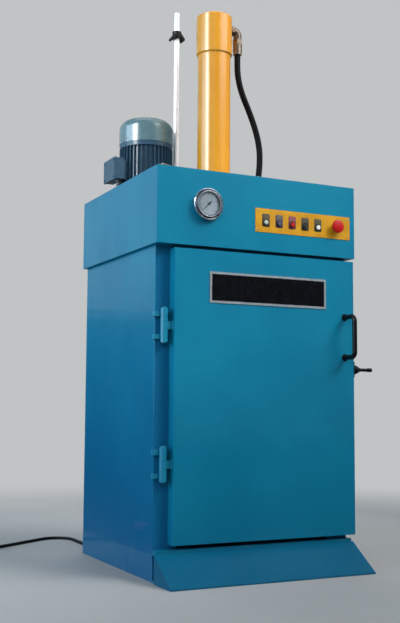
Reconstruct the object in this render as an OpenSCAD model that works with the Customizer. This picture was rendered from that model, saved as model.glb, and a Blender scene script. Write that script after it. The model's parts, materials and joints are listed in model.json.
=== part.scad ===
// Hydraulic drum crusher: a steel cabinet with a hinged door, in which a ram flattens a 200 litre drum.
// X runs to the right, Y to the rear and Z up. The origin is on the ground, below the ram.

/* [Cabinet] */
// Width over the side walls
cab_w = 884; // [876:1:888]
// Depth from the door seat to the back of the side walls
cab_d = 795; // [785:1:799]
// Thickness of the folded side walls
wall_t = 6; // [4:0.5:8]
// Thickness of the rear wall
rear_t = 4; // [3:0.5:6]
// Width of the jamb folded in front of each side wall
jamb_w = 100; // [90:1:110]
// Depth of the lip folded behind each jamb
jamb_lip = 45; // [35:1:55]
// Width of the flange folded behind each side wall
rear_flange = 40; // [30:1:60]
// Height of the chamber floor above the ground
floor_h = 122; // [116:1:126]
// Thickness of the chamber floor plate
floor_t = 12; // [10:1:16]
// Width of the base channels
rail_w = 45; // [40:1:50]
// Reach of the floor plate in front of the door seat
landing = 37; // [30:1:45]
// Width of the loading ramp
ramp_w = 900; // [880:1:910]
// Length of the loading ramp over the ground
ramp_l = 156; // [140:1:180]
// Thickness of the ramp plate
ramp_t = 6; // [5:0.5:8]

/* [Header] */
// Width of the header
head_w = 920; // [914:1:930]
// Depth of the header
head_d = 856; // [852:1:862]
// Height of the header's underside
head_z = 1294; // [1288:1:1300]
// Height of the header's top
head_top = 1600; // [1590:1:1610]
// Thickness of the header's sheet
head_t = 3; // [2:0.5:4]
// Thickness of the header's top plate
lid_t = 4; // [3:0.5:6]
// Width of the header's bottom flange at the front
sill_front = 70; // [62:1:76]
// Width of the header's bottom flange at the sides
sill_side = 30; // [26:1:34]

/* [Crosshead] */
// Thickness of the crosshead plate
cross_t = 20; // [16:1:25]
// Distance from the crosshead plate's top to the header's underside
cross_drop = 20; // [16:1:26]
// Height of the crosshead's ribs
cross_rib_h = 90; // [70:1:100]
// Thickness of the crosshead's ribs
cross_rib_t = 12; // [8:1:16]
// Distance of each rib from the ram's axis
cross_rib_y = 132; // [130:1:134]
// Height of the lintel over the door opening
lintel_h = 94; // [80:1:100]

/* [Door] */
// Thickness of the door
door_t = 52; // [48:1:56]
// Gap between the closed door and its seat
seat_gap = 1; // [0.5:0.5:2]
// Thickness of the door's sheet
skin_t = 4; // [3:0.5:5]
// Width of the strip left free beside the door for its hinges
hinge_strip = 62; // [60:1:66]
// Reach of the door past the right side wall
door_over = 10; // [4:1:12]
// Gap above the door
door_top_gap = 14; // [8:1:18]
// Gap below the door
door_foot_gap = 17; // [10:1:20]
// Depth of the stiffeners inside the door
stiff_d = 38; // [30:1:42]
// Radius of the hinge barrels
hinge_r = 15; // [13:0.5:16]
// Radius of the hinge pins
pin_r = 8; // [6:0.5:9]
// Height of each hinge
hinge_h = 133; // [120:1:150]
// Distance of the hinges from the door's middle
hinge_off = 267; // [220:1:300]
// Radius of the handle's bar
handle_r = 10; // [8:0.5:11]
// Length of the handle over its bar
handle_l = 189; // [160:1:200]
// Distance from the door's face to the middle of the handle's bar
handle_reach = 72; // [60:1:80]
// Distance of the handle from the door's closing edge
handle_in = 45; // [42:1:80]
// Height of the handle's middle
handle_z = 956; // [940:1:980]
// Width of the name plate
plate_w = 542; // [500:1:580]
// Height of the name plate
plate_h = 124; // [110:1:130]
// Height of the name plate's middle
plate_z = 1133; // [1115:1:1140]
// Offset of the name plate from the door's middle
plate_off = 5; // [-10:1:12]

/* [Door bolt] */
// Radius of the pull bolt
bolt_r = 7; // [6:0.5:8]
// Travel of the pull bolt
bolt_travel = 30; // [20:1:34]
// Height of the pull bolt
bolt_z = 822; // [800:1:840]
// Radius of the boss that guides the bolt
bolt_boss_r = 19; // [17:1:22]

/* [Ram] */
// Outer diameter of the cylinder barrel
barrel_d = 148; // [144:1:150]
// Bore of the cylinder barrel
barrel_bore = 125; // [120:1:128]
// Height of the barrel's top end
barrel_top = 2300; // [2296:1:2310]
// Diameter of the cylinder's cap
cap_d = 162; // [158:1:170]
// Reach of the cap down over the barrel
cap_lap = 53; // [45:1:60]
// Reach of the cap above the barrel's top end
cap_over = 132; // [125:1:140]
// Depth of the oil port below the cap's top
port_drop = 47; // [44:1:52]
// Diameter of the piston rod
rod_d = 70; // [60:1:75]
// Depth of the raised piston's lower face below the barrel's top end
piston_drop = 60; // [56:1:70]
// Height of the piston
piston_h = 55; // [50:1:58]
// Stroke of the ram
stroke = 740; // [700:1:740]
// Height of the raised platen's lower face
platen_z = 1040; // [1035:1:1050]
// Diameter of the platen
platen_d = 600; // [560:5:610]
// Thickness of the platen's plate
platen_t = 22; // [18:1:28]
// Height of the platen's hub over its plate
hub_h = 110; // [90:1:120]
// Diameter of the guide rod
guide_d = 27; // [24:0.5:28]
// Reach of the guide rod above the trip dog's apex
guide_over = 93; // [85:1:100]
// Sideways place of the guide rod
guide_x = -68; // [-69:1:-62]
// Rearward place of the guide rod
guide_y = 262; // [258:1:266]
// Height of the stroke sensor above the header's top
sensor_up = 78; // [72:1:90]

/* [Power pack] */
// Sideways place of the motor
motor_x = -227; // [-235:1:-226]
// Rearward place of the motor
motor_y = 245; // [242:1:248]
// Radius over the motor's fins
motor_r = 123; // [118:1:124]
// Height of the motor's body
motor_h = 260; // [250:1:270]
// Number of cooling fins
fin_n = 40; // [32:4:44]
// Height of the fan cover
cowl_h = 115; // [108:1:125]
// Radius of the fan cover's rounded edge
cowl_edge = 46; // [36:1:52]
// Radius of the motor's shaft
shaft_r = 12; // [10:0.5:14]
// Width of the oil tank
tank_w = 270; // [256:1:272]
// Depth of the oil tank
tank_d = 262; // [250:1:264]

/* [Controls] */
// Sideways place of the pressure gauge
gauge_x = -245; // [-300:5:-160]
// Height of the pressure gauge
gauge_z = 1460; // [1440:1:1480]
// Radius of the gauge's bezel
gauge_r = 64; // [58:1:66]
// Reach of the gauge in front of the header
gauge_out = 27; // [20:1:30]
// Width of the control plate
ctrl_w = 460; // [450:1:465]
// Height of the control plate
ctrl_h = 98; // [92:1:106]
// Distance from the control plate to the header's right edge
ctrl_in = 25; // [18:1:32]
// Height of the control plate's middle
ctrl_z = 1421; // [1410:1:1440]
// Distance between the buttons
button_pitch = 62.5; // [60:0.5:64]
// Distance from the plate's left edge to the first button
button_first = 49; // [42:1:52]
// Radius of a button's cap
button_r = 9.5; // [8:0.5:10]
// Travel of a button
button_travel = 4; // [2:0.5:5]
// Radius of the emergency stop's head
stop_r = 27.5; // [24:0.5:29]
// Travel of the emergency stop
stop_travel = 6; // [4:0.5:8]

/* [Cable and hose] */
// Diameter of the supply cable
cable_d = 14; // [13:0.5:15]
// Diameter of the pressure hose
hose_d = 28; // [24:1:30]

/* [Fits] */
// Radial clearance of sliding and turning fits
run_gap = 0.08; // [0.02:0.01:0.1]
// Radial clearance of pieces that are fixed in holes
seat_fit = 0.05; // [0.01:0.01:0.1]

/* [Hidden] */
$fn = 48;
eps = 0.01;

blue = [0.09, 0.45, 0.60];
steel = [0.72, 0.73, 0.75];
dark = [0.09, 0.09, 0.10];
yellow = [0.93, 0.66, 0.12];

// faces of the header and the cabinet
half_w = cab_w / 2;
head_front = -head_d / 2;
head_back = head_d / 2;
seat_y = head_front + door_t + seat_gap;
cab_back = seat_y + cab_d;
inner_w = half_w - wall_t;
rear_in = cab_back - wall_t - rear_t;
open_w = half_w - jamb_w;
lip_y = seat_y + jamb_lip;
rail_h = floor_h - floor_t;
ramp_y = seat_y - landing;

// crosshead
cross_top = head_z - cross_drop;
cross_z = cross_top - cross_t;

// door
door_x0 = -half_w + hinge_strip;
door_x1 = half_w + door_over;
door_z0 = floor_h + door_foot_gap;
door_z1 = head_z - door_top_gap;
door_y1 = head_front + door_t;
door_mid_z = (door_z0 + door_z1) / 2;
door_mid_x = (door_x0 + door_x1) / 2;
hinge_x = door_x0 - 31;
hinge_y = head_front + 30;
hinge_zs = [door_mid_z - hinge_off, door_mid_z + hinge_off];
knuckle_h = hinge_h / 3;
knuckle_gap = 0.5;
handle_x = door_x1 - handle_in;

// ram
barrel_r = barrel_d / 2;
bore_r = barrel_bore / 2;
rod_r = rod_d / 2;
guide_r = guide_d / 2;
barrel_z = cross_z - 6;
flange_r = barrel_r + 46;
flange_h = 30;
flange_pcd = 2 * barrel_r + 58;
flange_bolt_n = 8;
m16_r = 8;
rod_foot = platen_z + platen_t;
cap_z = barrel_top - cap_lap;
cap_top = barrel_top + cap_over;
port_z = cap_top - port_drop;
piston_z = barrel_top - piston_drop;
sensor_z = head_top + sensor_up;
dog_z = sensor_z + stroke + 26;
guide_top = dog_z + guide_over;
hub_r = rod_r + 27;
spigot_rod_r = rod_r - 10;
bolt_y = head_front + 25;
bolt_plate_x = door_x1 + 2;
boss_x = bolt_plate_x + 6;
boss_h = 17;
boss_cone_h = 20;

// power pack
tank_x0 = motor_x - tank_w / 2 + 4;
tank_x1 = tank_x0 + tank_w;
tank_y0 = rear_in - tank_d;
tank_z0 = cross_top + 26;
tank_z1 = head_top - 16;
bell_r = 64;
bell_z = tank_z1 - 104;
pump_shaft_r = 9;
coupling_r = 26;
coupling_h = 54;
coupling_z = tank_z1 - 76;
fan_top = 46;
filler_x = tank_x1 - 32;
filler_y = rear_in - 30;
filler_r = 20;
term_x = motor_x - motor_r - 11;
term_y0 = motor_y - 67;
term_y1 = motor_y + 67;
term_z0 = head_top + 80;
term_z1 = term_z0 + 96;
conduit_x = term_x - 16;
conduit_y = motor_y - 42;
conduit_r = 11;

// valves and pipes
valve_x = 200;
valve_y = 240;
valve_z = cross_top + 50;
valve_w = 160;
valve_h = 90;
spool_h = 50;
pipe_r = 8;
pipe_bend = 40;
pipe_y = valve_y - 8;
pipe_zs = [valve_z + 20, valve_z + 64];
lower_port_y = barrel_r + 18;
lower_port_z = cross_top + cross_rib_h + 26;
hose_foot_x = 230;
hose_turn_y = valve_y - 36;
hose_turn_z = valve_z + valve_h + 40;
bulk_r = 14;
bulk_top = head_top + 26;
port_face = cap_d / 2 + 3;
elbow_x = cap_d / 2 + 39;
elbow_bend = 22;
elbow_foot = port_z - elbow_bend - 42;
ferrule_r = hose_d / 2 + 6;
spigot_r = 20;
spigot_flange = 6;

// controls, with the button row along the plate
ctrl_x = head_w / 2 - ctrl_in - ctrl_w;
button_z = ctrl_z - 8;
button_xs = [for (i = [0:4]) ctrl_x + button_first + i * button_pitch];
stop_x = ctrl_x + ctrl_w - 74;
stop_z = ctrl_z + 1.5;
ctrl_t = 2;
collar_h = 4;
barrel_hole = button_r + 1.7;
dial_r = gauge_r - 17;
dial_z = gauge_out - 8;

// middle line of the pressure hose, from the cap's elbow to the header's top
hose_top = 2275;
hose_end = 1656;
hose_route = [[elbow_x, 0, hose_top], [120, 0, 2243], [120.5, 0, 2208], [123, 0, 2180], [128, 0, 2152],
              [135, 0, 2125], [144.5, 0, 2098], [156, 0, 2071], [168.5, 0, 2045], [181, 0, 2018],
              [193, 0, 1991], [204, 0, 1964], [214, 0, 1937], [222.5, 0, 1910], [229.5, 0, 1883],
              [234.5, 0, 1855], [237.5, 0, 1827], [238, 0, 1799], [237, 0, 1770], [234.5, 0, 1742],
              [231.5, 0, 1714], [hose_foot_x, 0, 1686], [hose_foot_x, 0, hose_end]];

// middle line of the supply cable: out of the header's back, down behind the machine and over the floor;
// its X and the coil's are measured from the gland
gland_r = 12;
gland_x = 100 - head_w / 2;
gland_z = 1330;
gland_end = 484;
lay = cable_d / 2;
cable_route = [[0, gland_end, gland_z], [0, 494, 1330], [0, 521, 1325], [0, 543, 1310], [0, 559, 1287],
               [0, 564, 1260], [0, 564, 1190], [0, 564, 1080], [0, 564, 900], [0, 564, 700], [0, 564, 500],
               [0, 564, 300], [0, 564, 170], [0, 564, 97], [0, 571, 62], [0, 590, 33], [0, 620, 14],
               [0, 654, lay], [0, 705, lay], [0, 760, lay], [0, 809, lay], [-8, 845, lay], [-30, 874, lay],
               [-63, 891, lay], [-100, 893, lay], [-132, 880, lay], [-175, 851, lay], [-219, 822, lay],
               [-262, 793, lay], [-305, 763, lay], [-349, 734, lay], [-392, 705, lay],
               [-435.5, 676, lay]];
coil_r = 5.5 * cable_d;
coil_at = [-482, 746, 0];
plug_at = [coil_at[0] - coil_r - lay, coil_at[1] + 26, 32];

// ---- helpers ----

// block between two corners
module block(a, b) {
    translate(a) cube(b - a);
}

// folded sheet of thickness t along a plan line
module strip(points, t) {
    last = len(points) - 1;
    for (i = [0:last - 1]) {
        run = points[i + 1] - points[i];
        translate(points[i]) rotate(atan2(run[1], run[0])) translate([0, -t / 2])
            square([norm(run), t]);
    }
    for (i = [1:last - 1]) translate(points[i]) circle(t / 2);
}

// upright round bar between two heights
module post(r, z0, z1) {
    translate([0, 0, z0]) cylinder(r = r, h = z1 - z0);
}

// places a piece on the header's front face, its own Z towards the operator
module on_front(x, z) {
    translate([x, head_front, z]) rotate([90, 0, 0]) children();
}

// profile in the YZ plane drawn out along X
module along_x(x0, x1) {
    translate([x0, 0, 0]) rotate([90, 0, 90]) linear_extrude(x1 - x0) children();
}

// C channel of height h, its open side towards +X, running along +Y
module channel(l, w, h, web, flange) {
    difference() {
        cube([w, l, h]);
        translate([web, -1, flange]) cube([w, l + 2, h - 2 * flange]);
    }
}

// hexagon bolt seen from its seat: head above, shank below
module hex_bolt(r, head_h, shank) {
    cylinder(r = r * 1.75, h = head_h, $fn = 6);
    translate([0, 0, -shank]) cylinder(r = r, h = shank + eps);
}

// quarter bend of a round bar in the XY plane, from the X axis to the Y axis
module bar_bend(r, bend) {
    rotate_extrude(angle = 90) translate([bend, 0]) circle(r);
}

function unit(v) = v / norm(v);
function heading(p, i) = unit(p[min(i + 1, len(p) - 1)] - p[max(i - 1, 0)]);
function cord_ring(p, i, r, n, side) =
    let (t = heading(p, i), a = unit(cross(t, side)), b = cross(t, a))
    [for (k = [0:n - 1]) p[i] + r * cos(360 * k / n) * a + r * sin(360 * k / n) * b];

// round cord along a list of points; side is a direction that the cord never follows
module cord(p, r, n, side) {
    m = len(p);
    rings = [for (i = [0:m - 1]) each cord_ring(p, i, r, n, side)];
    walls = [for (i = [0:m - 2], k = [0:n - 1])
        [i * n + k, i * n + (k + 1) % n, (i + 1) * n + (k + 1) % n, (i + 1) * n + k]];
    ends = [[for (k = [n - 1:-1:0]) k], [for (k = [0:n - 1]) (m - 1) * n + k]];
    polyhedron(points = rings, faces = concat(walls, ends));
}

// ---- cabinet ----

// floor plate on its channels, with the landing in front of the door seat
module base_frame() {
    rail_x = inner_w - rail_w;
    color(blue) {
        translate([0, 0, rail_h]) linear_extrude(floor_t) {
            translate([-inner_w, lip_y]) square([2 * inner_w, rear_in - lip_y]);
            translate([-open_w, ramp_y]) square([2 * open_w, lip_y - ramp_y + eps]);
            translate([-half_w, ramp_y]) square([cab_w, landing]);
        }
        for (x = [-rail_x / 2, 0, rail_x / 2]) translate([x - rail_w / 2, seat_y, 0])
            channel(rear_in - rail_w - seat_y, rail_w, rail_h, 6, 8);
        for (side = [-1, 1]) translate([side > 0 ? rail_x : -inner_w, lip_y, 0])
            channel(rear_in - rail_w - lip_y, rail_w, rail_h, 6, 8);
        translate([-inner_w, rear_in, 0]) rotate(-90)
            channel(2 * inner_w, rail_w, rail_h, 6, 8);
        translate([half_w, ramp_y, 0]) rotate(90) channel(cab_w, landing, rail_h, 6, 8);
    }
}

// bent plate from the landing down to the ground, on four gussets
module loading_ramp() {
    toe = 14;
    color(blue) {
        along_x(-ramp_w / 2, ramp_w / 2) polygon([
            [ramp_y, rail_h], [ramp_y - ramp_l, ramp_t], [ramp_y - ramp_l, 0],
            [ramp_y - ramp_l + toe, 0], [ramp_y, rail_h - 1.3 * ramp_t]]);
        for (i = [0:3]) along_x(-ramp_w / 2 + i * (ramp_w - ramp_t) / 3,
                                -ramp_w / 2 + ramp_t + i * (ramp_w - ramp_t) / 3)
            polygon([[ramp_y, rail_h - ramp_t], [ramp_y - ramp_l + toe, 0.5 * ramp_t],
                     [ramp_y - ramp_l + toe, 0], [ramp_y, 0]]);
    }
}

// side sheet with its jamb and lip folded in front and its flange folded behind
module side_wall() {
    mid = wall_t / 2;
    linear_extrude(head_z) strip([
        [-open_w - mid, lip_y], [-open_w - mid, seat_y + mid], [-half_w + mid, seat_y + mid],
        [-half_w + mid, cab_back - mid], [-half_w + rear_flange, cab_back - mid]], wall_t);
}

module side_wall_left() {
    color(blue) side_wall();
}

module side_wall_right() {
    color(blue) mirror([1, 0, 0]) side_wall();
}

// flat rear sheet behind the chamber
module rear_wall() {
    color(blue) block([-inner_w, rear_in, 0], [inner_w, rear_in + rear_t, head_z]);
}

// plate and ribs that carry the cylinder, with the lintel over the door opening
module crosshead() {
    rib_x = inner_w - 8;
    color(blue) difference() {
        union() {
            block([-inner_w, lip_y, cross_z], [inner_w, rear_in, cross_top]);
            block([-open_w, seat_y, head_z - lintel_h], [open_w, seat_y + wall_t, head_z]);
            block([-open_w, seat_y, head_z - lintel_h],
                  [open_w, lip_y, head_z - lintel_h + wall_t]);
            block([-open_w, seat_y, cross_z], [open_w, lip_y + eps, cross_top]);
            for (side = [-1, 1]) translate([0, side * cross_rib_y, 0])
                block([-rib_x, -cross_rib_t / 2, cross_top - eps],
                      [rib_x, cross_rib_t / 2, cross_top + cross_rib_h]);
        }
        post(barrel_r + 0.5, cross_z - 1, cross_top + 1);
        translate([guide_x, guide_y, 0]) post(spigot_r + seat_fit, cross_z - 1, cross_top + 1);
        for (i = [0:flange_bolt_n - 1]) rotate((i + 0.5) * 360 / flange_bolt_n)
            translate([flange_pcd / 2, 0, 0]) post(m16_r + 0.5, cross_z - 1, cross_top + 1);
    }
}

// ---- header ----

// front and sides folded from one sheet, with the flanges that rest on the cabinet
module header_shell() {
    mid = head_t / 2;
    side = head_w / 2 - mid;
    color(blue) difference() {
        union() {
            translate([0, 0, head_z]) linear_extrude(head_top - lid_t - head_z) strip([
                [-side, head_back], [-side, head_front + mid], [side, head_front + mid],
                [side, head_back]], head_t);
            block([-side, head_front + mid, head_z], [side, head_front + sill_front, head_z + head_t]);
            for (s = [-1, 1]) translate([s * (side - sill_side / 2), 0, 0])
                block([-sill_side / 2, head_front + mid, head_z],
                      [sill_side / 2, head_back, head_z + head_t]);
        }
        on_front(gauge_x, gauge_z) cylinder(r = gauge_r - 10, h = 3 * head_t, center = true);
        for (x = button_xs) on_front(x, button_z)
            cylinder(r = barrel_hole, h = 3 * head_t, center = true);
        on_front(stop_x, stop_z) cylinder(r = barrel_hole, h = 3 * head_t, center = true);
    }
}

// top plate, cut out for all that stands on the header or passes through it
module header_top() {
    color(blue) difference() {
        block([-head_w / 2, head_front, head_top - lid_t], [head_w / 2, head_back, head_top]);
        post(barrel_r + 6, head_top - lid_t - 1, head_top + 1);
        translate([guide_x, guide_y, 0]) post(spigot_r + seat_fit, head_top - lid_t - 1, head_top + 1);
        translate([motor_x, motor_y, 0]) post(bell_r + 1, head_top - lid_t - 1, head_top + 1);
        translate([hose_foot_x, 0, 0]) post(bulk_r + 0.5, head_top - lid_t - 1, head_top + 1);
        translate([filler_x, filler_y, 0]) post(filler_r + 0.5, head_top - lid_t - 1, head_top + 1);
        translate([conduit_x, conduit_y, 0]) post(conduit_r + 0.5, head_top - lid_t - 1, head_top + 1);
    }
}

// screwed rear cover with rows of air slots and the hole for the supply cable's gland
module header_back() {
    top = head_top - lid_t;
    slot_l = 60;
    color(blue) difference() {
        block([-head_w / 2 + head_t, head_back - head_t, head_z + head_t],
              [head_w / 2 - head_t, head_back, top]);
        for (s = [-1, 1], i = [0:6]) translate([s * (head_w / 2 - 210), head_back, head_z + 70 + i * 24])
            for (k = [-1, 0, 1]) translate([k * (slot_l + 12), 0, 0])
                cube([slot_l, 3 * head_t, 5], center = true);
        translate([gland_x, head_back, gland_z]) rotate([90, 0, 0])
            cylinder(r = gland_r + 0.5, h = 3 * head_t, center = true);
    }
}

// ---- hydraulic power pack ----

// box tank under the motor; its lid is open round the pump and the filler neck
module oil_tank() {
    wall = 3;
    foot_w = 30;
    color(dark) difference() {
        block([tank_x0, tank_y0, tank_z0], [tank_x1, rear_in, tank_z1]);
        block([tank_x0 + wall, tank_y0 + wall, tank_z0 + wall],
              [tank_x1 - wall, rear_in - wall, tank_z1 - wall]);
        translate([motor_x, motor_y, 0]) post(bell_r + 1, tank_z1 - 10, tank_z1 + 1);
        translate([filler_x, filler_y, 0]) post(filler_r + 0.5, tank_z1 - 10, tank_z1 + 1);
        for (z = pipe_zs) translate([tank_x1, pipe_y, z]) rotate([0, 90, 0])
            cylinder(r = pipe_r + 0.5, h = 20, center = true);
    }
    color(dark) for (x = [tank_x0 + 20, tank_x1 - 20 - foot_w])
        block([x, tank_y0, cross_top], [x + foot_w, rear_in, tank_z0 + eps]);
}

// filler neck through the header's top, with its knurled breather cap
module filler_breather() {
    color(dark) translate([filler_x, filler_y, 0]) {
        post(filler_r, tank_z1 - 22, head_top);
        post(filler_r + 9, head_top, head_top + 5);
        difference() {
            post(filler_r + 5, head_top + 5, head_top + 34);
            for (i = [0:17]) rotate(20 * i) translate([filler_r + 5.6, 0, 0])
                post(1.6, head_top + 8, head_top + 35);
        }
    }
}

// pump below its bell housing, hung in the tank from the motor's flange
module hydraulic_pump() {
    body = 86;
    color(steel) translate([motor_x, motor_y, 0]) difference() {
        union() {
            post(bell_r, bell_z, head_top);
            post(bell_r - 14, bell_z - 12, bell_z + eps);
            translate([-body / 2, -body / 2, bell_z - 94]) cube([body, body, body - 2]);
            post(30, tank_z0 + 12, bell_z - 93);
        }
        post(bell_r - 8, bell_z + 12, head_top + 1);
        post(pump_shaft_r + run_gap, bell_z - 12, bell_z + 13);
        for (a = [0, 90, 180, 270]) rotate(a) translate([bell_r, 0, bell_z + 56])
            cube([60, 44, 50], center = true);
    }
}

// manifold on two feet, with its directional valve and two solenoids
module valve_block() {
    valve_top = valve_h + spool_h;
    coil_z = valve_h + spool_h / 2;
    color(steel) translate([valve_x, valve_y, valve_z]) {
        for (x = [-60, 60]) block([x - 12, -40, cross_top - valve_z], [x + 12, 40, 0]);
        block([-valve_w / 2, -50, 0], [valve_w / 2, 50, valve_h]);
        block([-35, -24, valve_h], [35, 24, valve_top]);
    }
    color(dark) translate([valve_x, valve_y, valve_z + coil_z]) for (s = [-1, 1]) {
        translate([s * 35, 0, 0]) rotate([0, s * 90, 0]) cylinder(r = 23, h = 48);
        block([s * 58 - 14, -14, 15], [s * 58 + 14, 14, 44]);
    }
}

// rigid pipes: two to the tank, one to the barrel's lower port and one to the hose
module valve_pipes() {
    left = valve_x - valve_w / 2;
    nut_r = pipe_r + 4;
    nut_h = 14;
    low_turn_y = valve_y - 35 - pipe_bend;
    color(steel) {
        for (z = pipe_zs) translate([tank_x1, pipe_y, z]) rotate([0, 90, 0]) {
            translate([0, 0, -8]) cylinder(r = pipe_r, h = left - tank_x1 + 8);
            for (at = [0, left - tank_x1 - nut_h]) translate([0, 0, at])
                cylinder(r = nut_r, h = nut_h, $fn = 6);
        }
        // from the barrel to the rear, then over to the manifold
        translate([0, 0, lower_port_z]) {
            translate([0, lower_port_y, 0]) rotate([-90, 0, 0]) {
                cylinder(r = pipe_r, h = low_turn_y - lower_port_y);
                cylinder(r = nut_r, h = nut_h, $fn = 6);
            }
            translate([pipe_bend, low_turn_y, 0]) rotate(90) bar_bend(pipe_r, pipe_bend);
            translate([pipe_bend, low_turn_y + pipe_bend, 0]) rotate([0, 90, 0])
                cylinder(r = pipe_r, h = left - pipe_bend);
            translate([left - nut_h, low_turn_y + pipe_bend, 0]) rotate([0, 90, 0])
                cylinder(r = nut_r, h = nut_h, $fn = 6);
        }
        // up from the manifold and forward to below the hose's fitting
        translate([hose_foot_x, 0, 0]) {
            translate([0, hose_turn_y, 0]) {
                post(pipe_r, valve_z + valve_h, hose_turn_z);
                translate([0, 0, valve_z + valve_h]) cylinder(r = nut_r, h = nut_h, $fn = 6);
            }
            translate([0, hose_turn_y - pipe_bend, hose_turn_z]) rotate([90, 0, 90])
                bar_bend(pipe_r, pipe_bend);
            translate([0, pipe_bend, hose_turn_z + pipe_bend]) rotate([-90, 0, 0])
                cylinder(r = pipe_r, h = hose_turn_y - 2 * pipe_bend);
            translate([0, pipe_bend, hose_turn_z + 2 * pipe_bend]) rotate([90, 0, 90])
                rotate(180) bar_bend(pipe_r, pipe_bend);
            post(pipe_r, hose_turn_z + 2 * pipe_bend, head_top - 46);
        }
    }
}

// closed steel box behind the control plate, with its own lid
module electrical_box() {
    x0 = 24;
    x1 = 420;
    y0 = lip_y + 5;
    y1 = -cross_rib_y - cross_rib_t / 2 - 6;
    z1 = head_top - 34;
    wall = 2;
    color("gainsboro") {
        difference() {
            block([x0, y0, cross_top], [x1, y1, z1]);
            block([x0 + wall, y0 + wall, cross_top + wall], [x1 - wall, y1 - wall, z1 + 1]);
        }
        difference() {
            block([x0 - 3, y0 - 3, z1], [x1 + 3, y1 + 3, z1 + wall]);
            for (i = [0:2]) translate([x0 + 100 + i * 100, (y0 + y1) / 2, 0])
                post(11, z1 - 1, z1 + wall + 1);
        }
    }
}

// ---- cylinder ----

// honed tube with its mounting flange and the lower oil port
module cylinder_barrel() {
    color(yellow) difference() {
        union() {
            post(barrel_r, barrel_z, barrel_top);
            post(flange_r, cross_top, cross_top + flange_h);
            translate([0, 0, lower_port_z]) rotate([-90, 0, 0]) cylinder(r = 18, h = lower_port_y);
        }
        post(bore_r, barrel_z - 1, barrel_top + 1);
        translate([0, 0, lower_port_z]) rotate([-90, 0, 0]) cylinder(r = 6, h = lower_port_y + 1);
        for (i = [0:flange_bolt_n - 1]) rotate((i + 0.5) * 360 / flange_bolt_n)
            translate([flange_pcd / 2, 0, 0]) post(m16_r + 0.5, cross_top - 1, cross_top + flange_h + 1);
    }
}

// thick end cap screwed over the barrel, with the upper oil port at its right
module cylinder_cap() {
    edge = 6;
    color(yellow) difference() {
        union() {
            post(cap_d / 2, cap_z + edge, cap_top - edge);
            translate([0, 0, cap_top - edge]) cylinder(r1 = cap_d / 2, r2 = cap_d / 2 - edge, h = edge);
            translate([0, 0, cap_z]) cylinder(r1 = cap_d / 2 - edge, r2 = cap_d / 2, h = edge);
            translate([0, 0, port_z]) rotate([0, 90, 0]) cylinder(r = 20, h = port_face);
        }
        post(barrel_r + seat_fit, cap_z - 1, barrel_top);
        post(bore_r, barrel_top - 1, cap_top - 24);
        translate([0, 0, port_z]) rotate([0, 90, 0]) cylinder(r = 8, h = port_face + 1);
    }
}

// rod guide screwed into the barrel's lower end
module cylinder_gland() {
    color(steel) difference() {
        union() {
            post(bore_r - seat_fit, barrel_z - 1, barrel_z + 72);
            post(barrel_r - 1, barrel_z - 16, barrel_z);
        }
        post(rod_r + run_gap, barrel_z - 20, barrel_z + 80);
        for (i = [0:5]) rotate(60 * i) translate([barrel_r, 0, barrel_z - 9])
            cube([14, 12, 18.1], center = true);
    }
}

module flange_bolts() {
    color(steel) for (i = [0:flange_bolt_n - 1]) rotate((i + 0.5) * 360 / flange_bolt_n)
        translate([flange_pcd / 2, 0, cross_top + flange_h]) {
            hex_bolt(m16_r, 10, flange_h + cross_t + 12);
            translate([0, 0, -flange_h - cross_t - 13]) cylinder(r = m16_r * 1.75, h = 13, $fn = 6);
        }
}

// steel elbow from the cap's port down to the hose
module port_elbow() {
    r = 19;
    nut_h = 24;
    color(steel) {
        translate([port_face, 0, port_z]) rotate([0, 90, 0])
            cylinder(r = 24, h = elbow_x - elbow_bend - port_face, $fn = 6);
        translate([elbow_x - elbow_bend, 0, port_z - elbow_bend]) rotate([90, 0, 0])
            bar_bend(r, elbow_bend);
        translate([elbow_x, 0, 0]) {
            post(r, elbow_foot + nut_h, port_z - elbow_bend);
            translate([0, 0, elbow_foot]) cylinder(r = 24, h = nut_h, $fn = 6);
        }
    }
}

// crimped sleeve of height h, standing on its fitting
module ferrule(h) {
    cylinder(r = ferrule_r, h = h);
    for (z = [7:11:h - 10]) translate([0, 0, z]) cylinder(r = ferrule_r + 1.2, h = 5);
}

module hose_ferrules() {
    color([0.62, 0.50, 0.30]) {
        translate([elbow_x, 0, elbow_foot]) mirror([0, 0, 1]) ferrule(elbow_foot - hose_top);
        translate([hose_foot_x, 0, bulk_top]) ferrule(hose_end - bulk_top);
    }
}

module pressure_hose() {
    color(dark) cord(hose_route, hose_d / 2, 12, [0, 1, 0]);
}

// fitting that takes the hose through the header's top
module hose_bulkhead() {
    color(steel) translate([hose_foot_x, 0, 0]) {
        post(bulk_r, head_top - 30, bulk_top);
        translate([0, 0, head_top]) cylinder(r = bulk_r + 9, h = 12, $fn = 6);
        translate([0, 0, head_top - lid_t - 12]) cylinder(r = bulk_r + 9, h = 12, $fn = 6);
        post(pipe_r + 3, head_top - 46, head_top - 30 + eps);
    }
}

// flanged bushes that guide the rod through the crosshead and the header's top
module guide_bushes() {
    color(steel) translate([guide_x, guide_y, 0])
        for (f = [[cross_top, cross_t], [head_top, lid_t]]) difference() {
            union() {
                post(spigot_r, f[0] - f[1], f[0] + 19);
                post(spigot_r + spigot_flange, f[0], f[0] + 8);
            }
            post(guide_r + run_gap, f[0] - f[1] - 1, f[0] + 20);
        }
}

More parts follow.
